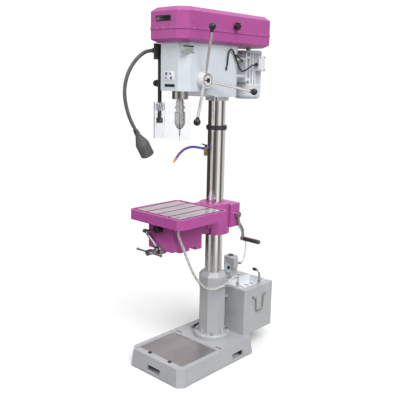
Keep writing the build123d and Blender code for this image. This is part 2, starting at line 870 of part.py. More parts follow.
def motor_plate():
    """The sliding plate that carries the motor on four guide rods."""
    front = motor_y - 92
    plate = block(-58, 58, front, front + 12, motor_mount_z - 120, motor_mount_z + 30)
    for z in (motor_mount_z + 10, motor_mount_z - 105):
        for side in (-1, 1):
            plate = plate + block(side * 44 - 8, side * 44 + 8, front + 12, motor_y - 50, z - 8, z + 8)
    plate -= upright(motor_radius - 2, 0, motor_y, motor_bottom, head_top)
    for x, z in motor_rod_places():
        plate = plate + along_y(motor_rod_radius, x, z, 78, front + 1)
    return plate


def tension_lever():
    reach = head_width / 2
    pin = along_x(lever_pin_radius, lever_y, lever_z, 66, reach + 6)
    boss = along_x(9, lever_y, lever_z, reach + 0.5, reach + 10)
    grip = (reach + 10, lever_y + 40, lever_z - 21)
    return pin + boss + knobbed_bar((reach + 6, lever_y, lever_z), grip, 4, 7)


def motor_lead():
    left = head_width / 2
    route = [
        (left - 8, -52, 1571),
        (left + 6, -50, 1582),
        (left + 9, -50, 1640),
        (left + 10, -42, 1668),
        (left + 10, -16, 1672),
        (left + 8, 6, 1640),
        (left + 6, 40, 1588),
        (left - 8, 84, 1562),
        (left - 26, 140, 1572),
        (76, 184, 1596),
        (80, 208, 1604),
        (80, motor_y - 22, 1604),
    ]
    return hose("motor_lead", route, 4)


# ---- Table lift ----
def bracket():
    body = upright(bracket_radius, 0, 0, bracket_bottom, bracket_top)
    arm = block(-66, 66, table_rear + free_gap, -30, bracket_bottom + 10, bracket_top - 4)
    housing = block(-34, crank_inner - 2, 30, crank_y + 40, bracket_bottom + 34, bracket_top - 8)
    housing = fillet(housing.edges().filter_by(Axis.Z).group_by(Axis.Y)[-1], 14)
    body = body + arm + housing
    body = fillet(body.edges().group_by(Axis.Z)[-1], 3)
    body -= upright(column_radius + running, 0, 0, 0, head_top)
    outer = rack_inner + rack_thickness
    side = rack_width / 2 + loose
    body -= block(-side, side, 30, outer + loose, 0, head_top)
    body -= along_x(lift_pinion_radius + gear_module + free_gap, crank_y, crank_z, -side, side)
    body -= along_x(10 + running, crank_y, crank_z, -26, crank_inner)
    body -= along_y(trunnion_radius + running, 0, flip_z, table_rear, -54)
    return body


def crank_arm():
    shaft = along_x(10, crank_y, crank_z, -24, crank_inner + 14)
    gear = pinion(lift_pinion_teeth, rack_width - 1, crank_y, crank_z, -1)
    hub = along_x(16, crank_y, crank_z, crank_inner, crank_inner + 22)
    x = crank_inner + 12
    end = crank_end()
    route = [
        (x, crank_y, crank_z),
        (x + 6, crank_y + 0.1 * crank_reach_y, crank_z - 0.33 * crank_drop),
        (x + 8, crank_y + 0.9 * crank_reach_y, crank_z - 0.63 * crank_drop),
        end,
    ]
    path = FilletPolyline(*route, radius=20)
    arm = sweep(Plane(origin=path @ 0, z_dir=path % 0) * Circle(8), path)
    eye = along_x(12, end[1], end[2], x - 2, x + 16)
    pin = along_x(6, end[1], end[2], x + 10, x + 17 + grip_length - 4 - loose)
    return shaft + gear + hub + arm + eye + pin


def crank_end():
    return (crank_inner + 20, crank_y + crank_reach_y, crank_z - crank_drop)


def crank_grip():
    x, y, z = crank_end()
    start = x + 9
    grip = along_x(grip_radius, y, z, start, start + grip_length)
    grip = fillet(grip.edges(), 3)
    return grip - along_x(6 + running, y, z, start, start + grip_length - 4)


# ---- Table and its vise ----
def table():
    half = table_width / 2
    low = table_top - table_thickness
    outline = cut_corner_outline(-half, half, table_front, table_rear, table_corner)
    body = prism(outline, low, table_top)
    body -= trough()
    plateau_front = table_front + table_rim + trough_width
    plateau_rear = table_rear - table_rim - trough_width
    for k in (-1, 0, 1):
        body -= tee_slot(k * slot_spacing, plateau_front - 2, plateau_rear + 2, table_top)
    inner = vise_casting() + trunnion()
    body = body + inner
    x, y = drain_place()
    body = body + upright(11, x, y, low - 14, low)
    return body - upright(6, x, y, low - 20, table_top)


def drain_place():
    return (122, -402)


def trough():
    half = table_width / 2 - table_rim
    front = table_front + table_rim
    rear = table_rear - table_rim
    outer = round_outline(-half, half, front, rear, 10)
    inner = round_outline(
        -half + trough_width, half - trough_width, front + trough_width, rear - trough_width, 4
    )
    ring = prism(outer, table_top - trough_depth, table_top) - prism(inner, 0, table_top + 1)
    x, y = drain_place()
    return ring + upright(12, x, y, table_top - trough_depth, table_top)


def trunnion():
    disc = along_y(72, 0, flip_z, table_rear - 30, table_rear)
    pin = along_y(trunnion_radius, 0, flip_z, table_rear - 20, -56)
    return disc + pin


def vise_casting():
    """The body under the table: a channel open below, a screw boss in front and a fixed jaw behind."""
    half = vise_half_width
    low = table_top - table_thickness
    body = block(-half, half, vise_front, vise_rear, vise_bottom + 16, low)
    body = body + block(-half, half, fixed_jaw_front, vise_rear, vise_bottom, low)
    body = body + block(-half, half, -352, -284, vise_bottom + 4, low)
    body = body + along_y(26, 0, vise_screw_z, vise_front, vise_front + 24)
    neck = block(-60, 60, vise_rear - 10, table_rear - 12, flip_z - 62, low)
    corners = [(vise_rear, vise_bottom + 30), (vise_rear, low), (table_rear - 20, low)]
    web = make_face(Polyline(*corners, close=True))
    body = body + neck + extrude(Plane.YZ * web, 60, both=True)
    channel = block(-vise_channel_half, vise_channel_half, vise_front + 24, fixed_jaw_front, 0, 752)
    body -= channel
    return body - along_y(vise_screw_radius + running, 0, vise_screw_z, vise_front - 1, vise_front + 25)


def vise_screw():
    screw = along_y(vise_screw_radius, 0, vise_screw_z, cross_bar_y, screw_seat())
    tip = along_y(vise_tip_radius, 0, vise_screw_z, screw_seat(), screw_seat() + 12)
    boss = along_y(15, 0, vise_screw_z, cross_bar_y - 14, cross_bar_y + 12)
    bar = along_x(5, cross_bar_y, vise_screw_z, -cross_bar_half, cross_bar_half)
    for side in (-1, 1):
        middle = side * cross_bar_half
        bar = bar + along_x(7, cross_bar_y, vise_screw_z, middle - 4, middle + 4)
    return screw + tip + boss + bar


def screw_seat():
    """Where the screw's shoulder bears inside the sliding jaw."""
    return jaw_block_rear - 26


def vise_jaw():
    half = vise_channel_half - loose
    front = jaw_block_rear - jaw_block_length
    jaw = block(-half, half, front, jaw_block_rear, vise_bottom - 2, 752 - loose)
    jaw -= along_y(vise_screw_radius + running, 0, vise_screw_z, front - 1, screw_seat())
    jaw -= along_y(vise_tip_radius + running, 0, vise_screw_z, screw_seat() - 1, screw_seat() + 13)
    notch = Pos(0, jaw_block_rear, vise_bottom - 2) * Rot(0, 0, 45) * Box(14, 14, 60)
    return jaw - notch


def table_lever():
    """The black lever in front of the vise that locks the table's tilt."""
    hub = along_y(19, 0, flip_z, vise_front - 36, vise_front - loose)
    hub = fillet(hub.edges().group_by(Axis.Y)[0], 4)
    return hub + knobbed_bar((-10, vise_front - 29, flip_z - 3), (-76, vise_front - 38, flip_z - 18), 6, 10)


def clamp_bar():
    """The steel handle whose ring turns on the screw boss."""
    ring = along_y(24, 0, vise_screw_z, vise_front - 20, vise_front - loose)
    y = vise_front - 10
    bar = bar_between((-12, y, vise_screw_z + 11), (-104, y, vise_screw_z + 84), 9)
    return (ring + bar) - along_y(16.5, 0, vise_screw_z, vise_front - 21, vise_front)


# ---- Guard ----
def guard_holder():
    """The two blocks on the left of the head that guide the guard's rod."""
    left = -head_width / 2
    blocks = []
    for z in (1480, 1640):
        item = block(rod_x - 14, left, rod_y - 16, rod_y + 16, z, z + 34)
        item = fillet(item.edges().filter_by(Axis.Z).group_by(Axis.X)[0], 4)
        blocks.append(item)
    knob = along_x(15, rod_y, 1497, rod_x - 34, rod_x - 22)
    knob = knob + along_x(5, rod_y, 1497, rod_x - 22, rod_x - 13)
    both = blocks[0] + blocks[1] + block(left - 4, left, rod_y - 12, rod_y + 12, 1500, 1660) + knob
    side = rod_half + 0.25
    return both - block(rod_x - side, rod_x + side, rod_y - side, rod_y + side, 1400, 1700)


def guard_rod():
    rod = block(rod_x - rod_half, rod_x + rod_half, rod_y - rod_half, rod_y + rod_half, rod_bottom, rod_top)
    stop = block(rod_x - 12, rod_x + 12, rod_y - 12, rod_y + 12, rod_bottom, rod_bottom + 26)
    return chamfer((rod + stop).edges().group_by(Axis.Z)[0], 1)


def guard_clamp():
    clamp = upright(19, rod_x, rod_y, 1362, 1400)
    clamp = fillet(clamp.edges(), 2)
    return clamp - block(rod_x - rod_half, rod_x + rod_half, rod_y - rod_half, rod_y + rod_half, 1300, 1500)


def guard_shield():
    """A clear three-sided shield on a ring that turns round the clamp."""
    t = guard_thickness
    half = guard_half_width
    shield = block(-half, half, guard_front, guard_front + t, guard_bottom, guard_top)
    shield = shield + block(half - t, half, guard_front, guard_rear, guard_bottom, guard_top)
    shield = shield + block(-half, -half + t, guard_front, guard_rear - 4, guard_bottom, guard_top)
    ring = upright(25, rod_x, rod_y, 1368, 1394) - upright(19 + running, rod_x, rod_y, 1300, 1400)
    link = block(rod_x + 20, -half + t, rod_y - 22, rod_y + 2, 1368, 1394)
    link -= upright(19 + running, rod_x, rod_y, 1300, 1400)
    return shield + ring + link


# ---- Lamp ----
def lamp_base():
    left = -head_width / 2
    base = block(left - 14, left, -352, -328, 1612, 1688)
    base = fillet(base.edges().group_by(Axis.X)[0], 3)
    return base + along_x(13, -340, 1655, left - 26, left - 14)


def lamp_route():
    left = -head_width / 2
    return [
        (left - 26, -340, 1655),
        (left - 46, -340, 1655),
        (lamp_x - 2, -372, 1646),
        (lamp_x - 6, -431, 1600),
        (lamp_x - 9, -474, 1536),
        (lamp_x - 10, -492, 1462),
        (lamp_x - 8, -485, 1391),
        (lamp_x - 5, -461, 1320),
        (lamp_x, -428, 1265),
    ]


def lamp_pivot(radius, half):
    """A round bar across the end of the gooseneck, on the axis that the shade tilts about."""
    x, y, z = lamp_route()[-1]
    return along_x(radius, y, z, x - half, x + half)


def gooseneck():
    """The flexible neck and the eye on its end."""
    clear = lamp_pivot(lamp_pivot_radius + free_gap, 2 * neck_radius)
    neck = hose("gooseneck", lamp_route(), neck_radius) - clear
    end = Vector(*lamp_route()[-1])
    back = Vector(*lamp_route()[-2]) - end
    tongue = Box(2 * lamp_pivot_half, 1.8 * lamp_pivot_radius, 2 * lamp_pivot_radius)
    stem = Plane(origin=end, x_dir=(1, 0, 0), z_dir=(0, back.Y, back.Z)) * Pos(0, 0, lamp_pivot_radius) * tongue
    neck = neck + stem + lamp_pivot(lamp_pivot_radius, lamp_pivot_half)
    return neck - lamp_pivot(lamp_pin_radius + running, 2 * neck_radius)


def shade_frame():
    """A frame at the end of the gooseneck whose Z axis points out of the shade's mouth."""
    end = Vector(*lamp_route()[-1])
    mouth = Vector(lamp_x, -348, 1137)
    return Plane(origin=end, x_dir=(1, 0, 0), z_dir=(mouth - end))


def lamp_shade():
    """A conical shade on a drum, open at the mouth, with the bulb in its socket."""
    neck_length = 30
    drum_start = neck_length + 52
    inner_radius = shade_radius - 2
    outer = Pos(0, 0, shade_collar_start) * extrude(Circle(14), neck_length + 1 - shade_collar_start)
    outer = outer + Pos(0, 0, neck_length) * rising_cone(14, shade_radius, 52)
    outer = outer + Pos(0, 0, drum_start) * extrude(Circle(shade_radius), shade_length - drum_start)
    inner = Pos(0, 0, neck_length + 6) * rising_cone(12, inner_radius, 50)
    inner = inner + Pos(0, 0, drum_start + 4) * extrude(Circle(inner_radius), shade_length)
    socket = Pos(0, 0, neck_length) * extrude(Circle(11), 40)
    bulb = Pos(0, 0, neck_length + 54) * Sphere(19)
    hole = Rot(90, 0, 0) * Pos(0, switch_along, 13) * Cylinder(4 + running, 12)
    return shade_frame() * (outer - inner + socket + bulb - hole + shade_fork())


def shade_fork():
    """Two cheeks and a pin that hold the eye of the gooseneck."""
    inner = lamp_pivot_half + loose
    outer = lamp_pivot_half + 6
    reach = shade_collar_start + 1
    fork = along_x(lamp_pin_radius, 0, 0, -outer, outer)
    for side in (-1, 1):
        middle = side * (inner + outer) / 2
        fork = fork + Pos(middle, 0, 0) * Rot(0, 90, 0) * Cylinder(lamp_pivot_radius, outer - inner)
        fork = fork + Pos(middle, 0, reach / 2) * Box(outer - inner, 2 * lamp_pivot_radius, reach)
    return fork


def lamp_switch():
    return shade_frame() * Rot(90, 0, 0) * Pos(0, switch_along, 13) * Cylinder(4, 8)


# ---- Coolant ----
def tap_body():
    ring = upright(column_radius + 5, 0, 0, tap_z - 10, tap_z + 10)
    band = ring & block(-80, -32, -80, 80, tap_z - 10, tap_z + 10)
    arm = block(tap_x, -30, tap_y - 8, tap_y + 8, tap_z - 9, tap_z + 9)
    valve = upright(11, tap_x, tap_y, tap_z - 26, tap_z + 22)
    inlet = along_y(7, tap_x, tap_z - 14, tap_y, tap_y + 22)
    outlet = along_y(8, tap_x, tap_z + 14, tap_y - 18, tap_y)
    body = band + arm + valve + inlet + outlet
    body -= upright(column_radius, 0, 0, tap_z - 40, tap_z + 40)
    return body - upright(4 + running, tap_x, tap_y, tap_z + 8, tap_z + 30)


def tap_lever():
    stem = upright(4, tap_x, tap_y, tap_z + 9, tap_z + 32)
    bar = bar_between((tap_x, tap_y, tap_z + 30), (tap_x - 34, tap_y + 6, tap_z + 34), 3.5)
    return stem + bar + upright(7, tap_x, tap_y, tap_z + 23, tap_z + 34)


def arm_route():
    return [
        (tap_x, tap_y - 18, tap_z + 14),
        (tap_x + 1, tap_y - 48, tap_z + 20),
        (tap_x + 2, tap_y - 108, tap_z + 31),
        (tap_x + 4, tap_y - 168, tap_z + 24),
        (tap_x + 7, tap_y - 214, tap_z),
        (tap_x + 10, tap_y - 238, tap_z - 22),
    ]


def coolant_arm():
    """The jointed hose that carries the nozzle: a tube with a ball at each link."""
    route = arm_route()
    path = FilletPolyline(*route, radius=corner_radii(route))
    body = sweep(Plane(origin=path @ 0, z_dir=path % 0) * Circle(5.5), path)
    count = 13
    for index in range(1, count):
        body = body + Pos(*(path @ (index / count))) * Sphere(7.5)
    return body - along_y(12, tap_x, tap_z + 14, tap_y - 18, tap_y)


def coolant_nozzle():
    end = Vector(*arm_route()[-1])
    before = Vector(*arm_route()[-2])
    place = Plane(origin=end, z_dir=end - before)
    cone = Cone(8.5, 3.5, 26, align=(Align.CENTER, Align.CENTER, Align.MIN))
    return place * (cone - Cylinder(2, 80))


def tank_shell():
    half = tank_half_width
    t = sheet_thickness
    body = prism(round_outline(-half, half, tank_front, tank_rear, 10), base_height, tank_top)
    body -= prism(
        round_outline(-half + t, half - t, tank_front + t, tank_rear - t, 8), base_height + t, tank_top
    )
    shelf = block(-half + 2, pump_x + 52, tank_front + 1, tank_rear - 1, tank_top - 3, tank_top)
    strip = block(-half + 2, half - 2, tank_front + 1, tank_front + 24, tank_top - 3, tank_top)
    x = half - side_strip_width
    side_strip = block(x, half - 1, tank_front + 1, tank_rear - 1, tank_top - 3, tank_top)
    body = body + shelf + strip + side_strip
    x, y = drain_inlet
    body = body + upright(9, x, y, tank_top - 30, tank_top + 8)
    body = body + block(x - 10, x + 10, tank_front + 14, y + 4, tank_top - 3, tank_top)
    body = body + upright(8, half - return_stub_inset, return_stub_y, tank_top, tank_top + 12)
    x, z = handle_axis()
    for y in (174, 276):
        lug = block(half - 0.5, x + 7, y, y + 12, z - 7, z + 7)
        body = body + (lug - along_y(4 + running, x, z, y - 1, y + 13))
    for x in (-16, 16):
        strut = block(x - 12, x + 12, foot_flats / 2, tank_front + 0.5, 300, 306)
        body = body + strut
    return body - upright(26, pump_x, pump_y, tank_top - 10, tank_top + 1)


def tank_handle():
    """The wire bail that hangs on the tank's right side."""
    x, z = handle_axis()
    route = [
        (x, 168, z),
        (x, 197, z),
        (x, 201, z - 90),
        (x, 261, z - 90),
        (x, 265, z),
        (x, 294, z),
    ]
    path = FilletPolyline(*route, radius=8)
    return sweep(Plane(origin=path @ 0, z_dir=path % 0) * Circle(4), path)


def handle_axis():
    return (tank_half_width + 6, 312)


def strainer_tray():
    """The lift-out tray with a slotted bottom; its lip lies on the strips round the tank's mouth."""
    x0, x1 = pump_x + 54, tank_half_width - side_strip_width - 2
    y0, y1 = tank_front + 26, tank_rear - 4
    top = tank_top + tray_rim
    tray = block(x0, x1, y0, y1, tank_top - 46, top)
    tray = tray + block(x0 - tray_lip, x1 + tray_lip, y0 - tray_lip, y1 + 3, tank_top, top)
    tray -= block(x0 + 2, x1 - 2, y0 + 2, y1 - 2, tank_top - 43, top)
    for k in range(5):
        y = y0 + 24 + k * (y1 - y0 - 48) / 4
        tray -= block(x0 + 14, x1 - 14, y - 6, y + 6, tank_top - 46, tank_top - 43)
    x, y = drain_inlet
    tray -= block(x - 11, x + 11, y0 - 10, y + 5, tank_top - 4, top)
    return tray - upright(12, x, y, tank_top - 46, top)


def pump_body():
    half = pump_width / 2
    foot = half + 6
    base = block(pump_x - foot, pump_x + foot, pump_y - foot, pump_y + foot, tank_top, tank_top + 10)
    body = block(pump_x - half, pump_x + half, pump_y - half, pump_y + half, tank_top + 10, pump_top)
    body = chamfer(body.edges().filter_by(Axis.Z), 8)
    body = chamfer(body.edges().group_by(Axis.Z)[-1], 5)
    stem = upright(24, pump_x, pump_y, base_height + 40, tank_top)
    outlet = along_x(8, pump_y + 20, 455, pump_x + half - 2, pump_x + half + 16)
    side = pump_x + half
    terminal = block(side - 2, side + 22, pump_y - 34, pump_y + 6, tank_top + 67, pump_top - 5)
    terminal = fillet(terminal.edges().group_by(Axis.X)[-1], 4)
    return base + body + stem + outlet + terminal - pump_switch_hole()


def pump_switch_hole():
    return along_y(9 + running, pump_x + 14, 432, pump_y - pump_width / 2 - 2, pump_y - pump_width / 2 + 10)


def pump_switch():
    front = pump_y - pump_width / 2
    knob = along_y(9, pump_x + 14, 432, front - 6, front + 9)
    return knob + block(pump_x + 12, pump_x + 16, front - 12, front - 5, 424, 440)


def supply_hose():
    half = pump_width / 2
    route = [
        (pump_x + half + 16, pump_y + 20, 455),
        (pump_x + half + 32, pump_y + 20, 455),
        (-2, 284, 488),
        (-16, 316, 556),
        (-26, 306, 616),
        (-36, 266, 674),
        (-50, 216, 728),
        (-70, 180, 790),
        (-90, 156, 860),
        (-104, 138, 935),
        (-112, 118, 1010),
        (-112, 84, 1072),
        (-94, 56, 1112),
        (tap_x, 36, tap_z - 14),
        (tap_x, tap_y + 22, tap_z - 14),
    ]
    return hose("supply_hose", route, 5)


def drain_route():
    x, y = drain_place()
    return [
        (x, y, table_top - table_thickness - 14),
        (x, y, 776),
        (x - 3, y + 18, 742),
        (115, -354, 690),
        (111, -318, 622),
        (106, -276, 550),
        (101, -226, 486),
        (97, -172, 438),
        (95, -116, 414),
        (95, -58, 408),
        (94, 2, 416),
        (90, 56, 432),
        (82, 104, 438),
        (70, 138, 424),
        (*drain_inlet, 396),
        (*drain_inlet, tank_top + 8),
    ]


def drain_hoses():
    """The drain hose in three lengths that follow the table's tilt, its lift and its swing."""
    route = drain_route()
    first = halfway(route[2], route[3])
    second = halfway(route[6], route[7])
    upper = route[:3] + [first]
    middle = [first] + route[3:7] + [second]
    lower = [second] + route[7:]
    return {
        "drain_hose_upper": hose("drain_hose_upper", upper, 7),
        "drain_hose_middle": hose("drain_hose_middle", middle, 7),
        "drain_hose_lower": hose("drain_hose_lower", lower, 7),
    }


NODES = {
    "base_casting": base_casting,
    "column_foot": column_foot,
    "fasteners": fasteners,
    "column": column,
    "rack_ring": rack_ring,
    "rack": rack,
    "head_casting": head_casting,
    "head_collar": head_collar,
    "spring_housing": spring_housing,
    "control_box": control_box,
    "power_switch": power_switch,
    "quill": quill,
    "spindle": spindle,
    "chuck_body": chuck_body,
    "chuck_jaws": chuck_jaws,
    "chuck_sleeve": chuck_sleeve,
    "drill_bit": drill_bit,
    "feed_shaft": feed_shaft,
    "feed_hub": feed_hub,
    "feed_spokes": feed_spokes,
    "feed_knobs": feed_knobs,
    "cover_tray": cover_tray,
    "cover_lid": cover_lid,
    "lid_knob": lid_knob,
    "spindle_pulley": spindle_pulley,
    "motor_pulley": motor_pulley,
    "belt": belt,
    "motor_frame": motor_frame,
    "fan_cowl": fan_cowl,
    "tension_lever": tension_lever,
    "motor_lead": motor_lead,
    "bracket": bracket,
    "crank_arm": crank_arm,
    "crank_grip": crank_grip,
    "table": table,
    "vise_screw": vise_screw,
    "vise_jaw": vise_jaw,
    "table_lever": table_lever,
    "clamp_bar": clamp_bar,
    "guard_holder": guard_holder,
    "guard_rod": guard_rod,
    "guard_clamp": guard_clamp,
    "guard_shield": guard_shield,
    "lamp_base": lamp_base,
    "gooseneck": gooseneck,
    "lamp_shade": lamp_shade,
    "lamp_switch": lamp_switch,
    "tap_body": tap_body,
    "tap_lever": tap_lever,
    "coolant_arm": coolant_arm,
    "coolant_nozzle": coolant_nozzle,
    "tank_shell": tank_shell,
    "tank_handle": tank_handle,
    "strainer_tray": strainer_tray,
    "pump_body": pump_body,
    "pump_switch": pump_switch,
    "supply_hose": supply_hose,
}


def main():
    os.makedirs("parts", exist_ok=True)
    shapes = {name: make() for name, make in NODES.items()}
    shapes.update(drain_hoses())
    for name, shape in shapes.items():
        export_step(shape, f"parts/{name}.step")


main()
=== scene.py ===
import json
import math

import bmesh
import bpy
from mathutils import Matrix, Vector


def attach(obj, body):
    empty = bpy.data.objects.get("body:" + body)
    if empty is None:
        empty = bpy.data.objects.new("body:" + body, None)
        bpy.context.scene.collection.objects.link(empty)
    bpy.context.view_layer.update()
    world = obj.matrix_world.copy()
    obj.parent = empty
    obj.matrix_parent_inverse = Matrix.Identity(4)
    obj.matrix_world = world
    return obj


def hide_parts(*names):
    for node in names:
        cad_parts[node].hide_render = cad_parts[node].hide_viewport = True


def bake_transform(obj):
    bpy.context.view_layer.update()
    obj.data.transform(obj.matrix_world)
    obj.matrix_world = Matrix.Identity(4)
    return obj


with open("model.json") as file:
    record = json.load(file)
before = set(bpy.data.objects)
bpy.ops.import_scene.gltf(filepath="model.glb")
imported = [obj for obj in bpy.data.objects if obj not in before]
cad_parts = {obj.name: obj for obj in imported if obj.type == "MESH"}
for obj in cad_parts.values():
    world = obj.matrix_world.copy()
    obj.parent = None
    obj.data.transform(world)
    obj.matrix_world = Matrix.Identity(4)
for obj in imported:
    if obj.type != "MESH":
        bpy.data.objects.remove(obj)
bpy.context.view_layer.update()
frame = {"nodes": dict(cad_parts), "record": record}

MM = 0.001


# ---- Camera ----
def place_camera():
    """Stands in front of the press, a little to its right and at the height of the head."""
    place = Vector((2.0703, -2.3632, 1.5205))
    turn_left = math.radians(42.675)
    look_down = math.radians(11.622)
    roll = math.radians(1.157)
    lens = bpy.data.cameras.new("camera")
    lens.lens = 52.83
    lens.clip_end = 200.0
    camera = bpy.data.objects.new("camera", lens)
    bpy.context.scene.collection.objects.link(camera)
    turn = Matrix.Rotation(turn_left, 4, "Z")
    tilt = Matrix.Rotation(math.pi / 2 - look_down, 4, "X")
    camera.matrix_world = Matrix.Translation(place) @ turn @ tilt @ Matrix.Rotation(roll, 4, "Z")
    bpy.context.scene.camera = camera


# ---- Working with pieces ----
def deselect():
    bpy.ops.object.select_all(action="DESELECT")


def activate(piece):
    deselect()
    piece.select_set(True)
    bpy.context.view_layer.objects.active = piece


def settle(piece):
    """Moves the piece's place into its mesh, so that the object itself sits at the origin."""
    activate(piece)
    bpy.ops.object.transform_apply(location=True, rotation=True, scale=True)


def start_block(low, high):
    """A block between two corners given in millimetres."""
    deselect()
    centre = [(a + b) / 2 * MM for a, b in zip(low, high)]
    size = [(b - a) * MM for a, b in zip(low, high)]
    bpy.ops.mesh.primitive_cube_add(size=1, location=centre, scale=size)
    piece = bpy.context.object
    settle(piece)
    return piece


AXIS_TURNS = {"X": (0, math.pi / 2, 0), "Y": (math.pi / 2, 0, 0), "Z": (0, 0, 0)}


def start_disc(radius, depth, centre, axis="Z", sides=48):
    """A short cylinder across one axis, with its centre and sizes in millimetres."""
    deselect()
    bpy.ops.mesh.primitive_cylinder_add(
        vertices=sides,
        radius=radius * MM,
        depth=depth * MM,
        location=[c * MM for c in centre],
        rotation=AXIS_TURNS[axis],
    )
    piece = bpy.context.object
    settle(piece)
    return piece


def start_ring(radius, thickness, segments, sides):
    """A round ring at the origin that lies in the XY plane."""
    deselect()
    bpy.ops.mesh.primitive_torus_add(
        major_radius=radius * MM, minor_radius=thickness * MM, major_segments=segments, minor_segments=sides
    )
    return bpy.context.object


def edit_faces(piece, test):
    """Opens the piece for editing with the faces selected that pass a test of centre and normal."""
    activate(piece)
    bpy.ops.object.mode_set(mode="EDIT")
    bpy.context.tool_settings.mesh_select_mode = (False, False, True)
    bpy.ops.mesh.select_all(action="DESELECT")
    mesh = bmesh.from_edit_mesh(piece.data)
    for face in mesh.faces:
        face.select_set(test(face.calc_center_median(), face.normal))
    bmesh.update_edit_mesh(piece.data)


def done_editing():
    bpy.ops.object.mode_set(mode="OBJECT")


def facing(direction):
    """A test for faces whose normal points along a direction."""
    aim = Vector(direction)
    return lambda centre, normal: normal.dot(aim) > 0.9


def sink(piece, direction, rim, depth):
    """Insets the faces that look along a direction and moves them in (or out, if depth is negative)."""
    edit_faces(piece, facing(direction))
    bpy.ops.mesh.inset(thickness=rim * MM)
    shift = [-d * depth * MM for d in direction]
    bpy.ops.mesh.extrude_region_move(TRANSFORM_OT_translate={"value": shift})
    done_editing()


def soften(piece, width, segments=2, angle=35):
    """Rounds the piece's sharp edges."""
    activate(piece)
    bevel = piece.modifiers.new("rounding", "BEVEL")
    bevel.width = width * MM
    bevel.segments = segments
    bevel.limit_method = "ANGLE"
    bevel.angle_limit = math.radians(angle)
    bpy.ops.object.modifier_apply(modifier=bevel.name)


def copy_to(piece, transform):
    """A copy of the piece with its own mesh, moved by a matrix."""
    copy = piece.copy()
    copy.data = piece.data.copy()
    bpy.context.scene.collection.objects.link(copy)
    copy.data.transform(transform)
    return copy


def joined(pieces):
    deselect()
    for piece in pieces:
        piece.select_set(True)
    bpy.context.view_layer.objects.active = pieces[0]
    bpy.ops.object.join()
    return pieces[0]


def remove(piece):
    bpy.data.objects.remove(piece, do_unlink=True)


def complete(piece, name, body, slot, finish=None, smooth=35):
    """Names the piece, shades it, gives it its finish and hangs it on its body."""
    activate(piece)
    bpy.ops.object.shade_smooth_by_angle(angle=math.radians(smooth))
    piece.name = name
    piece.data.name = name
    piece.data.materials.clear()
    piece.data.materials.append(finish or FINISHES[slot])
    if body:
        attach(piece, body)
    return piece


# ---- Cords and bent tubes ----
def route_curve(name, points, radius=0.0):
    """A smooth curve that has the points, in millimetres, as its control points."""
    curve = bpy.data.curves.new(name, "CURVE")
    curve.dimensions = "3D"
    spline = curve.splines.new("NURBS")
    spline.points.add(len(points) - 1)
    for point, place in zip(spline.points, points):
        point.co = (place[0] * MM, place[1] * MM, place[2] * MM, 1)
    spline.order_u = 3
    spline.use_endpoint_u = True
    spline.resolution_u = 10
    curve.bevel_depth = radius * MM
    curve.bevel_resolution = 7
    item = bpy.data.objects.new(name, curve)
    bpy.context.scene.collection.objects.link(item)
    return item


def line_points(points):
    """The points along the route's smooth line, in metres."""
    item = route_curve("route", points)
    mesh = bpy.data.meshes.new_from_object(item)
    line = [vertex.co.copy() for vertex in mesh.vertices]
    bpy.data.meshes.remove(mesh)
    remove(item)
    return line


def tube_mesh(name, points, radius, wall=0.0):
    """A tube along a route as a mesh; with a wall it is hollow."""
    item = route_curve(name, points, radius)
    item.data.use_fill_caps = wall == 0
    activate(item)
    bpy.ops.object.convert(target="MESH")
    piece = bpy.context.object
    edit_faces(piece, lambda centre, normal: True)
    bpy.ops.mesh.remove_doubles(threshold=0.00001)
    bpy.ops.mesh.normals_make_consistent(inside=False)
    done_editing()
    if wall:
        solid = piece.modifiers.new("wall", "SOLIDIFY")
        solid.thickness = wall * MM
        solid.offset = -1
        bpy.ops.object.modifier_apply(modifier=solid.name)
    return piece


def even_stations(points, spacing):
    """Places and directions at even distances along a route, in metres."""
    line = line_points(points)
    stations = []
    travelled = 0.0
    next_stop = 0.0
    for start, end in zip(line, line[1:]):
        step = end - start
        while next_stop <= travelled + step.length:
            stations.append((start + step * ((next_stop - travelled) / step.length), step.normalized()))
            next_stop += spacing * MM
        travelled += step.length
    return stations


def along_route(bead, points, spacing):
    """Copies a bead, made at the origin with its axis on Z, along a route and joins the copies."""
    beads = []
    for place, direction in even_stations(points, spacing):
        turn = direction.to_track_quat("Z", "Y").to_matrix().to_4x4()
        beads.append(copy_to(bead, Matrix.Translation(place) @ turn))
    remove(bead)
    return joined(beads)


DRAIN_UPPER = [(122, -402, 800), (122, -402, 776), (119, -384, 742), (117, -369, 716)]
DRAIN_MIDDLE = [
    (117, -369, 716),
    (115, -354, 690),
    (111, -318, 622),
    (106, -276, 550),
    (101, -226, 486),
    (99, -199, 462),
]
DRAIN_LOWER = [
    (99, -199, 462),
    (97, -172, 438),
    (95, -116, 414),
    (95, -58, 408),
    (94, 2, 416),
    (90, 56, 432),
    (82, 104, 438),
    (70, 138, 424),
    (66, 146, 396),
    (66, 146, 371),
]
SUPPLY = [
    (-22, 260, 455),
    (-6, 260, 455),
    (-2, 284, 488),
    (-16, 316, 556),
    (-26, 306, 616),
    (-36, 266, 674),
    (-50, 216, 728),
    (-70, 180, 790),
    (-90, 156, 860),
    (-104, 138, 935),
    (-112, 118, 1010),
    (-112, 84, 1072),
    (-94, 56, 1112),
    (-62, 36, 1127),
    (-62, 10, 1127),
]
MOTOR_LEAD = [
    (92, -52, 1571),
    (106, -50, 1582),
    (109, -50, 1640),
    (110, -42, 1668),
    (110, -16, 1672),
    (108, 6, 1640),
    (106, 40, 1588),
    (92, 84, 1562),
    (74, 140, 1572),
    (76, 184, 1596),
    (80, 208, 1604),
    (80, 228, 1604),
]
GOOSENECK = [
    (-126, -340, 1655),
    (-146, -340, 1655),
    (-162, -372, 1646),
    (-166, -431, 1600),
    (-169, -474, 1536),
    (-170, -492, 1462),
    (-168, -485, 1391),
    (-165, -461, 1320),
    (-160, -428, 1265),
]
LAMP_AIM = (-160, -348, 1137)
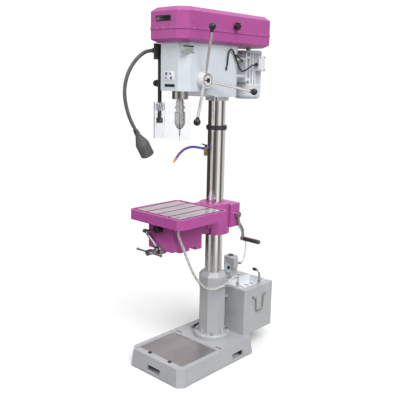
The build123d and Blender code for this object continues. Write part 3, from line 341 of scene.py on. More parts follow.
COOLANT_ARM = [
    (-62, -30, 1155),
    (-61, -60, 1161),
    (-60, -120, 1172),
    (-58, -180, 1165),
    (-55, -226, 1141),
    (-52, -250, 1119),
]


def add_cord(name, points, radius, wall, slot, bodies):
    """A free hose or lead between the bodies it joins, drawn as a fixed tube along its route; with one body
    it hangs on that body.
    """
    piece = tube_mesh(name + "_line", points, radius, wall)
    complete(piece, name + "_line", None, slot, smooth=60)
    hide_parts(name)
    if len(bodies) == 2:
        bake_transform(piece)
    else:
        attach(piece, bodies[0])
    line_points(points)


def add_drain_hose(name, points, bodies):
    add_cord(name, points, 7, 1.6, "clear_hose", bodies)


def add_cords():
    add_drain_hose("drain_hose_upper", DRAIN_UPPER, ("table", "bracket"))
    add_drain_hose("drain_hose_middle", DRAIN_MIDDLE, ("bracket", "rack"))
    add_drain_hose("drain_hose_lower", DRAIN_LOWER, ("rack", "machine"))
    add_cord("supply_hose", SUPPLY, 5, 1.3, "clear_hose", ("machine",))
    add_cord("motor_lead", MOTOR_LEAD, 4, 0, "black_rubber", ("machine", "motor"))


# ---- Finishes ----
class Recipe:
    """A material and the few node steps that its finish is mixed from."""

    def __init__(self, name):
        self.material = bpy.data.materials.new(name)
        self.material.use_nodes = True
        self.tree = self.material.node_tree
        self.shader = self.tree.nodes["Principled BSDF"]
        self.place = self.node("ShaderNodeTexCoord").outputs["Object"]

    def node(self, kind, **settings):
        item = self.tree.nodes.new(kind)
        for key, value in settings.items():
            setattr(item, key, value)
        return item

    def link(self, start, end):
        self.tree.links.new(start, end)

    def set(self, **values):
        for key, value in values.items():
            self.shader.inputs[key.replace("_", " ")].default_value = value

    def stretched(self, stretch):
        if stretch == (1, 1, 1):
            return self.place
        mapping = self.node("ShaderNodeMapping")
        mapping.inputs["Scale"].default_value = stretch
        self.link(self.place, mapping.inputs["Vector"])
        return mapping.outputs["Vector"]

    def noise(self, scale, detail=3.0, stretch=(1, 1, 1), roughness=0.5):
        item = self.node("ShaderNodeTexNoise")
        item.inputs["Scale"].default_value = scale
        item.inputs["Detail"].default_value = detail
        item.inputs["Roughness"].default_value = roughness
        self.link(self.stretched(stretch), item.inputs["Vector"])
        return item.outputs["Fac"]

    def spread(self, value, low, high, first, last):
        """Maps a value's range to another one, held at its ends."""
        item = self.node("ShaderNodeMapRange")
        for key, number in zip(("From Min", "From Max", "To Min", "To Max"), (low, high, first, last)):
            item.inputs[key].default_value = number
        self.link(value, item.inputs["Value"])
        return item.outputs["Result"]

    def blend_colours(self, amount, first, second):
        """Mixes two colours; each is a colour or the output of another step."""
        item = self.node("ShaderNodeMix", data_type="RGBA")
        self.link(amount, item.inputs["Factor"])
        for socket, colour in ((item.inputs[6], first), (item.inputs[7], second)):
            if isinstance(colour, tuple):
                socket.default_value = (*colour, 1)
            else:
                self.link(colour, socket)
        return item.outputs[2]

    def math(self, kind, first, second):
        item = self.node("ShaderNodeMath", operation=kind)
        for socket, value in zip(item.inputs, (first, second)):
            if isinstance(value, (int, float)):
                socket.default_value = value
            else:
                self.link(value, socket)
        return item.outputs["Value"]

    def edges(self, radius):
        """How near a point is to an edge: 1 on it and 0 away from it."""
        bevel = self.node("ShaderNodeBevel", samples=4)
        bevel.inputs["Radius"].default_value = radius
        plain = self.node("ShaderNodeNewGeometry")
        match = self.node("ShaderNodeVectorMath", operation="DOT_PRODUCT")
        self.link(bevel.outputs["Normal"], match.inputs[0])
        self.link(plain.outputs["Normal"], match.inputs[1])
        return self.spread(match.outputs["Value"], 0.995, 0.86, 0.0, 1.0)

    def bump(self, height, strength, distance, rounded=0.0):
        item = self.node("ShaderNodeBump")
        item.inputs["Strength"].default_value = strength
        item.inputs["Distance"].default_value = distance
        self.link(height, item.inputs["Height"])
        if rounded:
            bevel = self.node("ShaderNodeBevel", samples=4)
            bevel.inputs["Radius"].default_value = rounded
            self.link(bevel.outputs["Normal"], item.inputs["Normal"])
        self.link(item.outputs["Normal"], self.shader.inputs["Normal"])

    def colour(self, socket):
        self.link(socket, self.shader.inputs["Base Color"])

    def roughness(self, socket):
        self.link(socket, self.shader.inputs["Roughness"])


def darker(colour, share):
    return tuple(c * share for c in colour)


def enamel(name, colour, gloss=0.32, worn=(0.62, 0.60, 0.58), wear=0.5, cast=True):
    """Sprayed enamel: orange peel over a cast or sheet surface, faint clouds and bright rubbed edges."""
    recipe = Recipe(name)
    clouds = recipe.noise(7.0, 4.0)
    shade = recipe.blend_colours(recipe.spread(clouds, 0.35, 0.65, 0.0, 1.0), darker(colour, 0.93), colour)
    specks = recipe.spread(recipe.noise(260.0, 2.0), 0.68, 0.74, 0.0, 0.35)
    shade = recipe.blend_colours(specks, shade, darker(colour, 0.72))
    scuffs = recipe.spread(recipe.noise(90.0, 5.0), 0.45, 0.7, 0.0, wear)
    rubbed = recipe.math("MULTIPLY", recipe.edges(0.0016), scuffs)
    recipe.colour(recipe.blend_colours(rubbed, shade, worn))
    recipe.roughness(recipe.spread(recipe.noise(35.0, 4.0), 0.3, 0.7, gloss - 0.06, gloss + 0.1))
    grain = recipe.noise(420.0, 2.0)
    if cast:
        lumps = recipe.math("MULTIPLY", recipe.noise(55.0, 3.0), 1.6)
        grain = recipe.math("ADD", grain, lumps)
    recipe.bump(grain, 0.35, 0.0004, rounded=0.0018)
    recipe.set(Coat_Weight=0.15, Coat_Roughness=0.12)
    return recipe.material


def turned_metal(name, colour, rough, stretch, scale=260.0, depth=0.25):
    """Machined steel with fine tool marks across one direction."""
    recipe = Recipe(name)
    marks = recipe.noise(scale, 3.0, stretch)
    stains = recipe.spread(recipe.noise(14.0, 5.0), 0.35, 0.7, 0.0, 0.6)
    recipe.colour(recipe.blend_colours(stains, colour, darker(colour, 0.82)))
    recipe.roughness(recipe.spread(marks, 0.3, 0.7, rough - 0.05, rough + 0.1))
    recipe.bump(marks, depth, 0.0002, rounded=0.0006)
    recipe.set(Metallic=1.0)
    return recipe.material


def polished_column():
    """Ground and polished steel: light runs down it in bands, with faint rings from the grinding."""
    recipe = Recipe("polished_steel")
    rings = recipe.noise(120.0, 2.0, (0.15, 0.15, 4.0))
    haze = recipe.noise(9.0, 5.0, (1, 1, 0.25))
    tint = recipe.spread(haze, 0.4, 0.7, 0.0, 1.0)
    recipe.colour(recipe.blend_colours(tint, (0.80, 0.79, 0.78), (0.70, 0.67, 0.64)))
    recipe.roughness(recipe.spread(haze, 0.3, 0.75, 0.07, 0.17))
    recipe.bump(rings, 0.06, 0.0001, rounded=0.0006)
    recipe.set(Metallic=1.0)
    return recipe.material


def moulded(name, colour, rough, grain=600.0, depth=0.2):
    """Moulded plastic or rubber with a fine skin."""
    recipe = Recipe(name)
    skin = recipe.noise(grain, 2.0)
    dust = recipe.spread(recipe.noise(25.0, 4.0), 0.45, 0.75, 0.0, 0.5)
    pale = tuple(c * 0.8 + 0.03 for c in colour)
    recipe.colour(recipe.blend_colours(dust, colour, pale))
    recipe.roughness(recipe.spread(recipe.noise(50.0, 3.0), 0.3, 0.7, rough - 0.06, rough + 0.08))
    recipe.bump(skin, depth, 0.0002, rounded=0.0008)
    return recipe.material


def clear_vinyl(name, colour, rough, clarity):
    """Clear plastic that has gone slightly milky."""
    recipe = Recipe(name)
    milk = recipe.spread(recipe.noise(40.0, 3.0), 0.3, 0.7, 0.0, 1.0)
    recipe.colour(recipe.blend_colours(milk, colour, darker(colour, 0.92)))
    recipe.roughness(recipe.spread(recipe.noise(60.0, 3.0), 0.3, 0.7, rough, rough + 0.12))
    recipe.bump(recipe.noise(90.0, 2.0), 0.04, 0.0003)
    recipe.set(Transmission_Weight=clarity, IOR=1.4)
    return recipe.material


def plateau_finish(name, paint, bare, low, high, across):
    """Paint with a machined face inside a box: bare planed steel shows only where the top is level."""
    recipe = Recipe(name)
    clouds = recipe.noise(7.0, 4.0)
    shade = recipe.blend_colours(recipe.spread(clouds, 0.35, 0.65, 0.0, 1.0), darker(paint, 0.93), paint)
    scuffs = recipe.spread(recipe.noise(90.0, 5.0), 0.45, 0.7, 0.0, 0.5)
    rubbed = recipe.math("MULTIPLY", recipe.edges(0.0016), scuffs)
    shade = recipe.blend_colours(rubbed, shade, (0.62, 0.60, 0.58))
    planed = recipe.noise(300.0, 3.0, across)
    oil = recipe.spread(recipe.noise(8.0, 5.0, (1, 0.5, 1)), 0.35, 0.7, 0.0, 1.0)
    steel = recipe.blend_colours(oil, bare, darker(bare, 0.75))
    inside = machined_area(recipe, low, high)
    recipe.colour(recipe.blend_colours(inside, shade, steel))
    paint_gloss = recipe.spread(recipe.noise(35.0, 4.0), 0.3, 0.7, 0.28, 0.42)
    steel_gloss = recipe.spread(planed, 0.3, 0.7, 0.24, 0.40)
    gloss = recipe.node("ShaderNodeMix", data_type="FLOAT")
    recipe.link(inside, gloss.inputs["Factor"])
    recipe.link(paint_gloss, gloss.inputs[2])
    recipe.link(steel_gloss, gloss.inputs[3])
    recipe.roughness(gloss.outputs[0])
    recipe.link(recipe.math("MULTIPLY", inside, 0.9), recipe.shader.inputs["Metallic"])
    peel = recipe.math("ADD", recipe.noise(420.0, 2.0), recipe.math("MULTIPLY", recipe.noise(55.0, 3.0), 1.6))
    recipe.bump(peel, 0.3, 0.0004, rounded=0.0018)
    return recipe.material


def machined_area(recipe, low, high):
    """1 inside a box, in millimetres, and 0 outside it."""
    parts = recipe.node("ShaderNodeSeparateXYZ")
    recipe.link(recipe.place, parts.inputs["Vector"])
    inside = None
    for axis, first, last in zip("XYZ", low, high):
        above = recipe.math("GREATER_THAN", parts.outputs[axis], first * MM)
        below = recipe.math("LESS_THAN", parts.outputs[axis], last * MM)
        both = recipe.math("MULTIPLY", above, below)
        inside = both if inside is None else recipe.math("MULTIPLY", inside, both)
    return inside


MAGENTA = (0.45, 0.085, 0.33)
HEAD_GREY = (0.66, 0.72, 0.78)
BASE_GREY = (0.42, 0.43, 0.45)
TANK_GREY = (0.44, 0.46, 0.47)
MOTOR_SILVER = (0.78, 0.81, 0.85)
# Pale planed steel of the table, with a pink tint that is a painted reflection.
TABLE_STEEL_PINK_REFLECTION = (0.88, 0.82, 0.87)
BASE_STEEL = (0.50, 0.46, 0.48)

FINISHES = {}


def mix_finishes():
    FINISHES["magenta_paint"] = enamel("magenta_paint", MAGENTA, worn=(0.66, 0.30, 0.52), wear=0.4)
    FINISHES["head_grey_paint"] = enamel("head_grey_paint", HEAD_GREY, worn=(0.75, 0.76, 0.77), wear=0.4)
    FINISHES["base_grey_paint"] = enamel("base_grey_paint", BASE_GREY, worn=(0.66, 0.66, 0.65))
    FINISHES["motor_paint"] = enamel("motor_paint", MOTOR_SILVER, worn=(0.8, 0.8, 0.82), wear=0.4, cast=False)
    FINISHES["tank_grey_paint"] = enamel("tank_grey_paint", TANK_GREY, worn=(0.6, 0.61, 0.62), cast=False)
    FINISHES["white_paint"] = enamel("white_paint", (0.80, 0.80, 0.82), worn=(0.6, 0.6, 0.6), cast=False)
    FINISHES["polished_steel"] = polished_column()
    FINISHES["machined_steel"] = turned_metal("machined_steel", (0.55, 0.54, 0.53), 0.24, (1, 1, 6))
    FINISHES["dark_steel"] = turned_metal("dark_steel", (0.14, 0.14, 0.15), 0.38, (1, 1, 1))
    FINISHES["cast_alloy"] = turned_metal("cast_alloy", (0.66, 0.67, 0.69), 0.36, (1, 1, 5))
    FINISHES["brass"] = turned_metal("brass", (0.78, 0.68, 0.48), 0.30, (1, 1, 4))
    FINISHES["black_plastic"] = moulded("black_plastic", (0.018, 0.018, 0.02), 0.22)
    FINISHES["matte_black"] = moulded("matte_black", (0.035, 0.035, 0.038), 0.42)
    FINISHES["lamp_paint"] = moulded("lamp_paint", (0.11, 0.11, 0.115), 0.36)
    FINISHES["white_plastic"] = moulded("white_plastic", (0.82, 0.82, 0.80), 0.4)
    FINISHES["black_rubber"] = moulded("black_rubber", (0.025, 0.025, 0.027), 0.6)
    FINISHES["blue_plastic"] = moulded("blue_plastic", (0.10, 0.08, 0.42), 0.32)
    FINISHES["orange_plastic"] = moulded("orange_plastic", (0.85, 0.30, 0.04), 0.35)
    FINISHES["clear_plastic"] = clear_vinyl("clear_plastic", (0.97, 0.98, 1.0), 0.02, 1.0)
    FINISHES["clear_hose"] = clear_vinyl("clear_hose", (0.95, 0.95, 0.93), 0.12, 0.72)


def finish_cad_nodes():
    """Every node takes the finish of its slot, but the lamp shade, the motor frame and the strainer tray have
    their own; the table and the base also have machined faces.
    """
    table_low, table_high = (-157.5, -426.5, 862), (157.5, -127.5, 866)
    base_low, base_high = (-164, -398, 90), (164, -137, 92)
    own = {
        # The table's planed steel carries a pink tint as painted reflection.
        "table": plateau_finish("table_paint", MAGENTA, TABLE_STEEL_PINK_REFLECTION, table_low, table_high, (6, 0.2, 1)),
        "lamp_shade": FINISHES["lamp_paint"],
        "motor_frame": FINISHES["motor_paint"],
        "strainer_tray": FINISHES["motor_paint"],
        "base_casting": plateau_finish("base_paint", BASE_GREY, BASE_STEEL, base_low, base_high, (0.3, 5, 1)),
    }
    for part in frame["record"]["subparts"]:
        node = frame["nodes"][part["node"]]
        finish = own.get(part["node"], FINISHES[part["material_slot"]])
        node.data.materials.clear()
        node.data.materials.append(finish)


# ---- Studio ----
FLOOR_SOLID = 1.0
FLOOR_RIM = 2.4


def studio_floor():
    """A pale round floor that fades away towards its rim."""
    deselect()
    bpy.ops.mesh.primitive_circle_add(vertices=96, radius=FLOOR_RIM, fill_type="NGON")
    floor = bpy.context.object
    floor.name = "floor"
    recipe = Recipe("floor_paint")
    faint = recipe.spread(recipe.noise(0.8, 3.0), 0.3, 0.7, 0.0, 1.0)
    pale = recipe.blend_colours(faint, (0.90, 0.90, 0.90), (0.93, 0.93, 0.93))
    direct = recipe.node("ShaderNodeLightPath").outputs["Is Camera Ray"]
    recipe.colour(recipe.blend_colours(direct, (0.35, 0.35, 0.35), pale))
    recipe.set(Roughness=0.9, Specular_IOR_Level=0.1)
    length = recipe.node("ShaderNodeVectorMath", operation="LENGTH")
    recipe.link(recipe.place, length.inputs[0])
    solid = recipe.spread(length.outputs["Value"], FLOOR_SOLID, FLOOR_RIM * 0.98, 1.0, 0.0)
    recipe.link(solid, recipe.shader.inputs["Alpha"])
    floor.data.materials.append(recipe.material)


def sun(name, towards, strength, softness):
    light = bpy.data.lights.new(name, "SUN")
    light.energy = strength
    light.angle = math.radians(softness)
    item = bpy.data.objects.new(name, light)
    item.rotation_euler = Vector(towards).to_track_quat("Z", "Y").to_euler()
    bpy.context.scene.collection.objects.link(item)


# Brightness of the studio's walls by the angle, in degrees, to the right of the camera.
WALL_PANELS = {
    -180: 0.80,
    -160: 0.50,
    -140: 0.06,
    -78: 0.08,
    -66: 0.85,
    -42: 0.85,
    -32: 0.12,
    -4: 0.14,
    8: 0.45,
    20: 0.50,
    30: 1.30,
    56: 1.30,
    70: 0.22,
    98: 0.22,
    112: 0.80,
    150: 0.90,
    180: 0.95,
}
CAMERA_SIDE = (0.659, -0.752, 0.0)
RIGHT_SIDE = (0.752, 0.659, 0.0)


def studio_walls():
    """Pale panels and dark drapes round the studio, which the polished steel reflects."""
    world = bpy.data.worlds.new("studio")
    world.use_nodes = True
    tree = world.node_tree
    nodes = tree.nodes
    links = tree.links
    direction = nodes.new("ShaderNodeTexCoord").outputs["Generated"]
    angle = nodes.new("ShaderNodeMath")
    angle.operation = "ARCTAN2"
    for socket, side in zip(angle.inputs, (RIGHT_SIDE, CAMERA_SIDE)):
        share = nodes.new("ShaderNodeVectorMath")
        share.operation = "DOT_PRODUCT"
        share.inputs[1].default_value = side
        links.new(direction, share.inputs[0])
        links.new(share.outputs["Value"], socket)
    around = nodes.new("ShaderNodeMapRange")
    around.inputs["From Min"].default_value = -math.pi
    around.inputs["From Max"].default_value = math.pi
    links.new(angle.outputs["Value"], around.inputs["Value"])
    walls = nodes.new("ShaderNodeValToRGB")
    links.new(around.outputs["Result"], walls.inputs["Fac"])
    stops = walls.color_ramp.elements
    for stop in list(stops)[1:]:
        stops.remove(stop)
    for index, (degrees, light) in enumerate(WALL_PANELS.items()):
        stop = stops[0] if index == 0 else stops.new((degrees + 180) / 360)
        stop.position = (degrees + 180) / 360
        warmth = 0.78 + 0.22 * min(light, 1)
        stop.color = (light, light * (0.5 + warmth / 2), light * warmth, 1)
    height = nodes.new("ShaderNodeSeparateXYZ")
    links.new(direction, height.inputs["Vector"])
    ceiling = nodes.new("ShaderNodeMapRange")
    ceiling.inputs["From Min"].default_value = 0.45
    ceiling.inputs["From Max"].default_value = 0.8
    links.new(height.outputs["Z"], ceiling.inputs["Value"])
    room = nodes.new("ShaderNodeMix")
    room.data_type = "RGBA"
    room.inputs[7].default_value = (1.1, 1.1, 1.1, 1)
    links.new(ceiling.outputs["Result"], room.inputs["Factor"])
    links.new(walls.outputs["Color"], room.inputs[6])
    seen = nodes.new("ShaderNodeMix")
    seen.data_type = "RGBA"
    seen.inputs[7].default_value = (1.3, 1.3, 1.3, 1)
    ray = nodes.new("ShaderNodeLightPath")
    direct = nodes.new("ShaderNodeMath")
    direct.operation = "MAXIMUM"
    links.new(ray.outputs["Is Camera Ray"], direct.inputs[0])
    links.new(ray.outputs["Is Transmission Ray"], direct.inputs[1])
    links.new(direct.outputs["Value"], seen.inputs["Factor"])
    links.new(room.outputs[2], seen.inputs[6])
    links.new(seen.outputs[2], nodes["Background"].inputs["Color"])
    nodes["Background"].inputs["Strength"].default_value = 0.8
    bpy.context.scene.world = world


def head_light():
    """A soft lamp in front of the head, which fades towards the floor."""
    light = bpy.data.lights.new("head_light", "AREA")
    light.energy = 6
    light.size = 0.8
    item = bpy.data.objects.new("head_light", light)
    item.location = (-0.5, -1.7, 2.0)
    item.rotation_euler = Vector((-0.5, -1.35, 0.45)).to_track_quat("Z", "Y").to_euler()
    bpy.context.scene.collection.objects.link(item)


def light_studio():
    bpy.context.scene.view_settings.view_transform = "Standard"
    studio_floor()
    sun("key_light", (0.80, -0.42, 0.95), 2.55, 45)
    sun("front_light", (-0.25, -0.85, 0.45), 0.15, 50)
    head_light()
    studio_walls()


# ---- Belt cover details ----
def cover_badge():
    """A plain black badge on the front of the lid."""
    badge = start_block((-50, -396, 1784), (50, -393.6, 1810))
    sink(badge, (0, -1, 0), 3, 0.8)
    soften(badge, 0.7)
    complete(badge, "cover_badge", "lid", "black_plastic")


def cover_rivets():
    """Round rivet heads along the lid's lower band."""
    head = start_disc(3.2, 2.0, (0, 0, 0), "Y", 20)
    soften(head, 0.9, 3)
    rivets = []
    for x in (-50, 0, 50):
        rivets.append(copy_to(head, Matrix.Translation(Vector((x, -396.2, 1752.5)) * MM)))
    side = Matrix.Rotation(math.pi / 2, 4, "Z")
    for y in (-320, -210, -100, 110, 210):
        rivets.append(copy_to(head, Matrix.Translation(Vector((131.2, y, 1752.5)) * MM) @ side))
    remove(head)
    complete(joined(rivets), "cover_rivets", "lid", "machined_steel")


# ---- Head details ----
def data_plate():
    """A thin plate on the head's right side, with a dark band and blank ruled lines."""
    plate = start_block((99.8, -368, 1640), (101.2, -290, 1678))
    sink(plate, (1, 0, 0), 1.5, 0.3)
    soften(plate, 0.3, 1)
    complete(plate, "data_plate", "machine", "machined_steel", FINISHES["tank_grey_paint"])
    bars = [start_block((101.0, -364, 1668), (101.6, -294, 1674))]
    for z in (1662, 1656, 1650, 1645):
        bars.append(start_block((101.0, -362, z - 1), (101.4, -300, z)))
    lines = joined(bars)
    soften(lines, 0.15, 1)
    complete(lines, "data_plate_lines", "machine", "black_plastic")
    screw_row([(101.2, -366, 1643), (101.2, -292, 1643)], "X", 2.2, "data_plate_screws", "machine")


def cap_screw(radius):
    """One socket-head screw at the origin with its axis on Z."""
    screw = start_disc(radius, radius * 0.9, (0, 0, radius * 0.45), "Z", 24)
    sink(screw, (0, 0, 1), radius * 0.42, radius * 0.5)
    soften(screw, radius * 0.08, 2)
    return screw


def screw_row(places, axis, radius, name, body):
    """Copies one screw to several places; its head looks along the axis."""
    turns = {
        "X": Matrix.Rotation(math.pi / 2, 4, "Y"),
        "-X": Matrix.Rotation(-math.pi / 2, 4, "Y"),
        "-Y": Matrix.Rotation(math.pi / 2, 4, "X"),
        "Z": Matrix.Identity(4),
    }
    screw = cap_screw(radius)
    copies = [copy_to(screw, Matrix.Translation(Vector(place) * MM) @ turns[axis]) for place in places]
    remove(screw)
    return complete(joined(copies), name, body, "dark_steel")


def front_label():
    """The white label on the head's front with four plain signs, and the dark strip under it."""
    label = start_block((-36, -355.2, 1513), (34, -353.8, 1555))
    soften(label, 0.4, 2)
    complete(label, "front_label", "machine", "white_plastic")
    signs = []
    for x, z, sides in ((-18, 1544, 32), (8, 1544, 4), (-20, 1524, 3), (14, 1524, 6)):
        sign = start_disc(7.5, 1.0, (x, -355.4, z), "Y", sides)
        sink(sign, (0, -1, 0), 2.4, 0.3)
        signs.append(sign)
    complete(joined(signs), "front_label_signs", "machine", "blue_plastic")
    strip = start_block((-29, -356, 1482), (38, -353.8, 1495))
    soften(strip, 1.0, 3)
    sink(strip, (0, -1, 0), 1.6, 0.7)
    complete(strip, "front_scale_strip", "machine", "black_plastic")


HUB_AXIS = (-222, 1516)
HUB_FACE = 132


def feed_dial():
    """The graduated face of the feed hub: a rim of short marks and a dark pointer."""
    axis_y, axis_z, face = HUB_AXIS[0], HUB_AXIS[1], HUB_FACE
    plate = start_disc(37, 1.6, (face + 0.9, axis_y, axis_z), "X", 64)
    sink(plate, (1, 0, 0), 3, 0.6)
    soften(plate, 0.3, 2)
    complete(plate, "feed_dial", "feed", "white_paint")
    mark = start_block((face + 1.2, -0.8, 24), (face + 2.1, 0.8, 33))
    marks = []
    for index in range(36):
        turn = Matrix.Rotation(math.radians(10 * index), 4, "X")
        marks.append(copy_to(mark, Matrix.Translation((0, axis_y * MM, axis_z * MM)) @ turn))
    remove(mark)
    complete(joined(marks), "feed_dial_marks", "feed", "black_plastic")
    arrow = start_block((face + 1.2, axis_y - 22, axis_z - 2.5), (face + 2.6, axis_y + 12, axis_z + 2.5))
    soften(arrow, 0.5, 2)
    cap = start_disc(12, 5, (face + 3.2, axis_y, axis_z), "X", 6)
    sink(cap, (1, 0, 0), 3, 1.2)
    soften(cap, 0.7, 2)
    complete(joined([arrow, cap]), "feed_dial_pointer", "feed", "black_plastic")


def control_details():
    """Push buttons and a rim on the control box at the left of the head."""
    colours = {"start_button": ("white_plastic", 1588), "stop_button": ("orange_plastic", 1558)}
    for name, (slot, z) in colours.items():
        collar = start_disc(12, 3, (-135.5, -110, z), "X", 32)
        soften(collar, 0.6, 2)
        complete(collar, name + "_collar", "machine", "machined_steel")
        button = start_disc(8.5, 6, (-139, -110, z), "X", 32)
        soften(button, 1.4, 3)
        complete(button, name, "machine", slot)
    places = [(-134, y, z) for y in (-144, -76) for z in (1537, 1653)]
    screw_row(places, "-X", 3, "control_box_screws", "machine")


def lead_grommets():
    """Rubber grommets where the motor lead leaves the head and enters the motor's box."""
    ring = start_ring(6.2, 2.2, 32, 12)
    place = Matrix.Translation(Vector((100.4, -51, 1576)) * MM)
    ring.data.transform(place @ Matrix.Rotation(math.pi / 2, 4, "Y"))
    complete(ring, "head_grommet", "machine", "black_rubber")
    nut = start_disc(9, 9, (80, 223, 1604), "Y", 6)
    sink(nut, (0, -1, 0), 2.5, -5)
    soften(nut, 0.6, 2)
    complete(nut, "motor_gland", "motor", "black_plastic")


# ---- Motor details ----
def motor_details():
    corners = [(96, y, z) for y in (235, 273) for z in (1577, 1643)]
    screw_row(corners, "X", 3.2, "terminal_box_screws", "motor")
    plate = start_block((93, 238, 1598), (96.8, 270, 1622))
    soften(plate, 0.4, 2)
    sink(plate, (1, 0, 0), 1.5, 0.3)
    complete(plate, "motor_plate_blank", "motor", "cast_alloy", FINISHES["motor_paint"])


# ---- Lamp ----
def gooseneck_rings():
    """The flexible neck: close rings over a core, as a spiral-wound tube looks, and the eye on its end."""
    pivot = Vector(GOOSENECK[-1])
    back = (Vector(GOOSENECK[-2]) - pivot).normalized()
    route = GOOSENECK[:-1] + [tuple(pivot + 17 * back)]
    rings = along_route(start_ring(7.3, 2.1, 24, 8), route, 3.6)
    core = tube_mesh("neck_core", route, 7.6)
    eye = start_disc(8, 10, pivot, "X", 40)
    soften(eye, 1, 3)
    tongue = start_block((-5, -7, 0), (5, 7, 20))
    soften(tongue, 1, 3)
    turn = Vector((0, back.y, back.z)).to_track_quat("Z", "X").to_matrix().to_4x4()
    spun = Matrix.Rotation(math.pi / 2, 4, "Z")
    tongue.data.transform(Matrix.Translation(pivot * MM) @ turn @ spun)
    neck = joined([rings, core, eye, tongue])
    complete(neck, "gooseneck_rings", "machine", "matte_black", FINISHES["lamp_paint"], smooth=60)
    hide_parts("gooseneck")


def lamp_bulb():
    """A frosted bulb and a pale reflector inside the shade."""
    end = Vector(GOOSENECK[-1])
    aim = (Vector(LAMP_AIM) - end).normalized()
    turn = aim.to_track_quat("Z", "X").to_matrix().to_4x4()
    place = Matrix.Translation(end * MM) @ turn
    deselect()
    bpy.ops.mesh.primitive_uv_sphere_add(segments=32, ring_count=20, radius=0.0202, location=(0, 0, 0.084))
    bulb = bpy.context.object
    settle(bulb)
    edit_faces(bulb, lambda centre, normal: centre.z < 0.072)
    bpy.ops.mesh.delete(type="FACE")
    bpy.ops.mesh.select_mode(type="EDGE")
    bpy.ops.mesh.select_non_manifold()
    bpy.ops.mesh.extrude_region_move(TRANSFORM_OT_translate={"value": (0, 0, -0.016)})
    bpy.ops.mesh.edge_face_add()
    done_editing()
    bulb.data.transform(place)
    complete(bulb, "lamp_bulb", "lamp", "white_plastic", FINISHES["frosted_glass"], smooth=60)
    deselect()
    bpy.ops.mesh.primitive_cone_add(
        vertices=48,
        radius1=0.0145,
        radius2=0.0326,
        depth=0.046,
        end_fill_type="NOTHING",
        location=(0, 0, 0.063),
    )
    cone = bpy.context.object
    settle(cone)
    edit_faces(cone, lambda centre, normal: True)
    bpy.ops.mesh.select_mode(type="EDGE")
    mesh = bmesh.from_edit_mesh(cone.data)
    for edge in mesh.edges:
        edge.select_set(all(vertex.co.z > 0.08 for vertex in edge.verts))
    bmesh.update_edit_mesh(cone.data)
    bpy.ops.mesh.extrude_region_move(TRANSFORM_OT_translate={"value": (0, 0, 0.058)})
    done_editing()
    wall = cone.modifiers.new("wall", "SOLIDIFY")
    wall.thickness = 0.0006
    bpy.ops.object.modifier_apply(modifier=wall.name)
    cone.data.transform(place)
    complete(cone, "lamp_reflector", "lamp", "white_plastic", smooth=60)


def frosted_glass():
    recipe = Recipe("frosted_glass")
    recipe.colour(recipe.blend_colours(recipe.noise(60.0), (0.95, 0.95, 0.93), (0.85, 0.86, 0.86)))
    recipe.set(Roughness=0.35, Transmission_Weight=0.4)
    return recipe.material


# ---- Coolant ----
def jointed_hose():
    """The coolant arm: a chain of tapered ball links."""
    deselect()
    bpy.ops.mesh.primitive_cone_add(vertices=28, radius1=0.0074, radius2=0.0050, depth=0.0165)
    link = bpy.context.object
    sink(link, (0, 0, -1), 1.4, 1.0)
    soften(link, 0.9, 3, 30)
    arm = along_route(link, COOLANT_ARM, 13.5)
    complete(arm, "coolant_links", "machine", "blue_plastic", smooth=50)
    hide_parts("coolant_arm")


def hose_clip(name, place, direction, radius, body):
    """A worm-drive band round a hose end, with its screw housing."""
    deselect()
    bpy.ops.mesh.primitive_cylinder_add(vertices=40, radius=(radius + 0.9) * MM, depth=0.009)
    band = bpy.context.object
    edit_faces(band, lambda centre, normal: abs(normal.z) > 0.9)
    bpy.ops.mesh.inset(thickness=0.0008)
    bpy.ops.mesh.delete(type="FACE")
    done_editing()
    screw = start_disc(2.6, 12, (radius + 2.8, 0, 0), "Y", 18)
    sink(screw, (0, -1, 0), 0.8, 0.8)
    soften(screw, 0.3, 2)
    clip = joined([band, screw])
    turn = Vector(direction).to_track_quat("Z", "Y").to_matrix().to_4x4()
    clip.data.transform(Matrix.Translation(Vector(place) * MM) @ turn)
    complete(clip, name, body, "machined_steel")


def hose_clips():
    hose_clip("drain_clip", (122, -402, 792), (0, 0, 1), 7, "table")
    hose_clip("tank_clip", (66, 146, 380), (0, 0, 1), 7, "machine")
    hose_clip("pump_clip", (-15, 260, 455), (1, 0, 0), 5, "machine")
    hose_clip("tap_clip", (-62, 17, 1127), (0, 1, 0), 5, "machine")


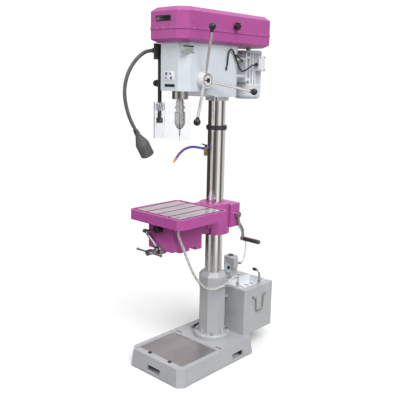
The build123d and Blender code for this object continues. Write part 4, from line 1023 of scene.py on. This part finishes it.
def pump_details():
    """A front plate, corner screws and a cap on the coolant pump."""
    plate = start_block((-92, 206.6, 400), (-40, 208.4, 452))
    soften(plate, 0.5, 2)
    sink(plate, (0, -1, 0), 2, 0.4)
    complete(plate, "pump_plate", "machine", "head_grey_paint")
    corners = [(x, 206.8, z) for x in (-88, -44) for z in (404, 448)]
    screw_row(corners, "-Y", 2.4, "pump_plate_screws", "machine")
    corners = [(x, y, 373) for x in (-104, -36) for y in (206, 274)]
    screw_row(corners, "Z", 4, "pump_flange_screws", "machine")
    cap = start_disc(16, 5, (-70, 240, 499), "Z", 40)
    sink(cap, (0, 0, 1), 4, 1.5)
    soften(cap, 1.0, 3)
    complete(cap, "pump_cap", "machine", "matte_black")


def return_pipe():
    """The bent return pipe on the tank, with its nut and a black hose end."""
    route = [(125, 268, 373), (125, 268, 404), (124, 268, 430), (112, 268, 440), (96, 268, 441)]
    pipe = tube_mesh("return_pipe", route, 6.5)
    nut = start_disc(10, 9, (125, 268, 380), "Z", 6)
    soften(nut, 0.6, 2)
    complete(joined([pipe, nut]), "return_pipe", "machine", "machined_steel", smooth=50)
    sleeve = start_disc(9, 24, (90, 268, 441), "X", 32)
    sink(sleeve, (-1, 0, 0), 2.5, 4)
    soften(sleeve, 1, 2)
    complete(sleeve, "return_sleeve", "machine", "black_rubber")


# ---- Base ----
def base_hole_shades_and_drain_cock():
    """Black discs in the two front holes of the base as painted shade, and the drain cock beside the foot."""
    # The black discs are painted shade: they stand for the dark inside the two front holes.
    hole_shades = []
    for x in (-75, 75):
        cap = start_disc(10.5, 4, (x, -404, 92.6), "Z", 32)
        sink(cap, (0, 0, 1), 3, 1.2)
        soften(cap, 0.8, 3)
        hole_shades.append(cap)
    complete(joined(hole_shades), "base_hole_shades", "machine", "black_plastic")
    body = start_disc(8, 46, (-129, 12, 105), "Y", 32)
    soften(body, 1.2, 3)
    flange = start_disc(10, 7, (-129, 33, 105), "Y", 6)
    soften(flange, 0.8, 2)
    complete(joined([body, flange]), "drain_cock", "machine", "matte_black")
    tip = start_disc(6.5, 22, (-129, -20, 105), "Y", 32)
    sink(tip, (0, -1, 0), 2, 3)
    soften(tip, 0.8, 3)
    complete(tip, "drain_cock_tip", "machine", "machined_steel")


def add_details():
    cover_badge()
    cover_rivets()
    data_plate()
    front_label()
    feed_dial()
    control_details()
    lead_grommets()
    motor_details()
    gooseneck_rings()
    lamp_bulb()
    jointed_hose()
    hose_clips()
    pump_details()
    return_pipe()
    base_hole_shades_and_drain_cock()


place_camera()
mix_finishes()
FINISHES["frosted_glass"] = frosted_glass()
add_cords()
finish_cad_nodes()
light_studio()
add_details()
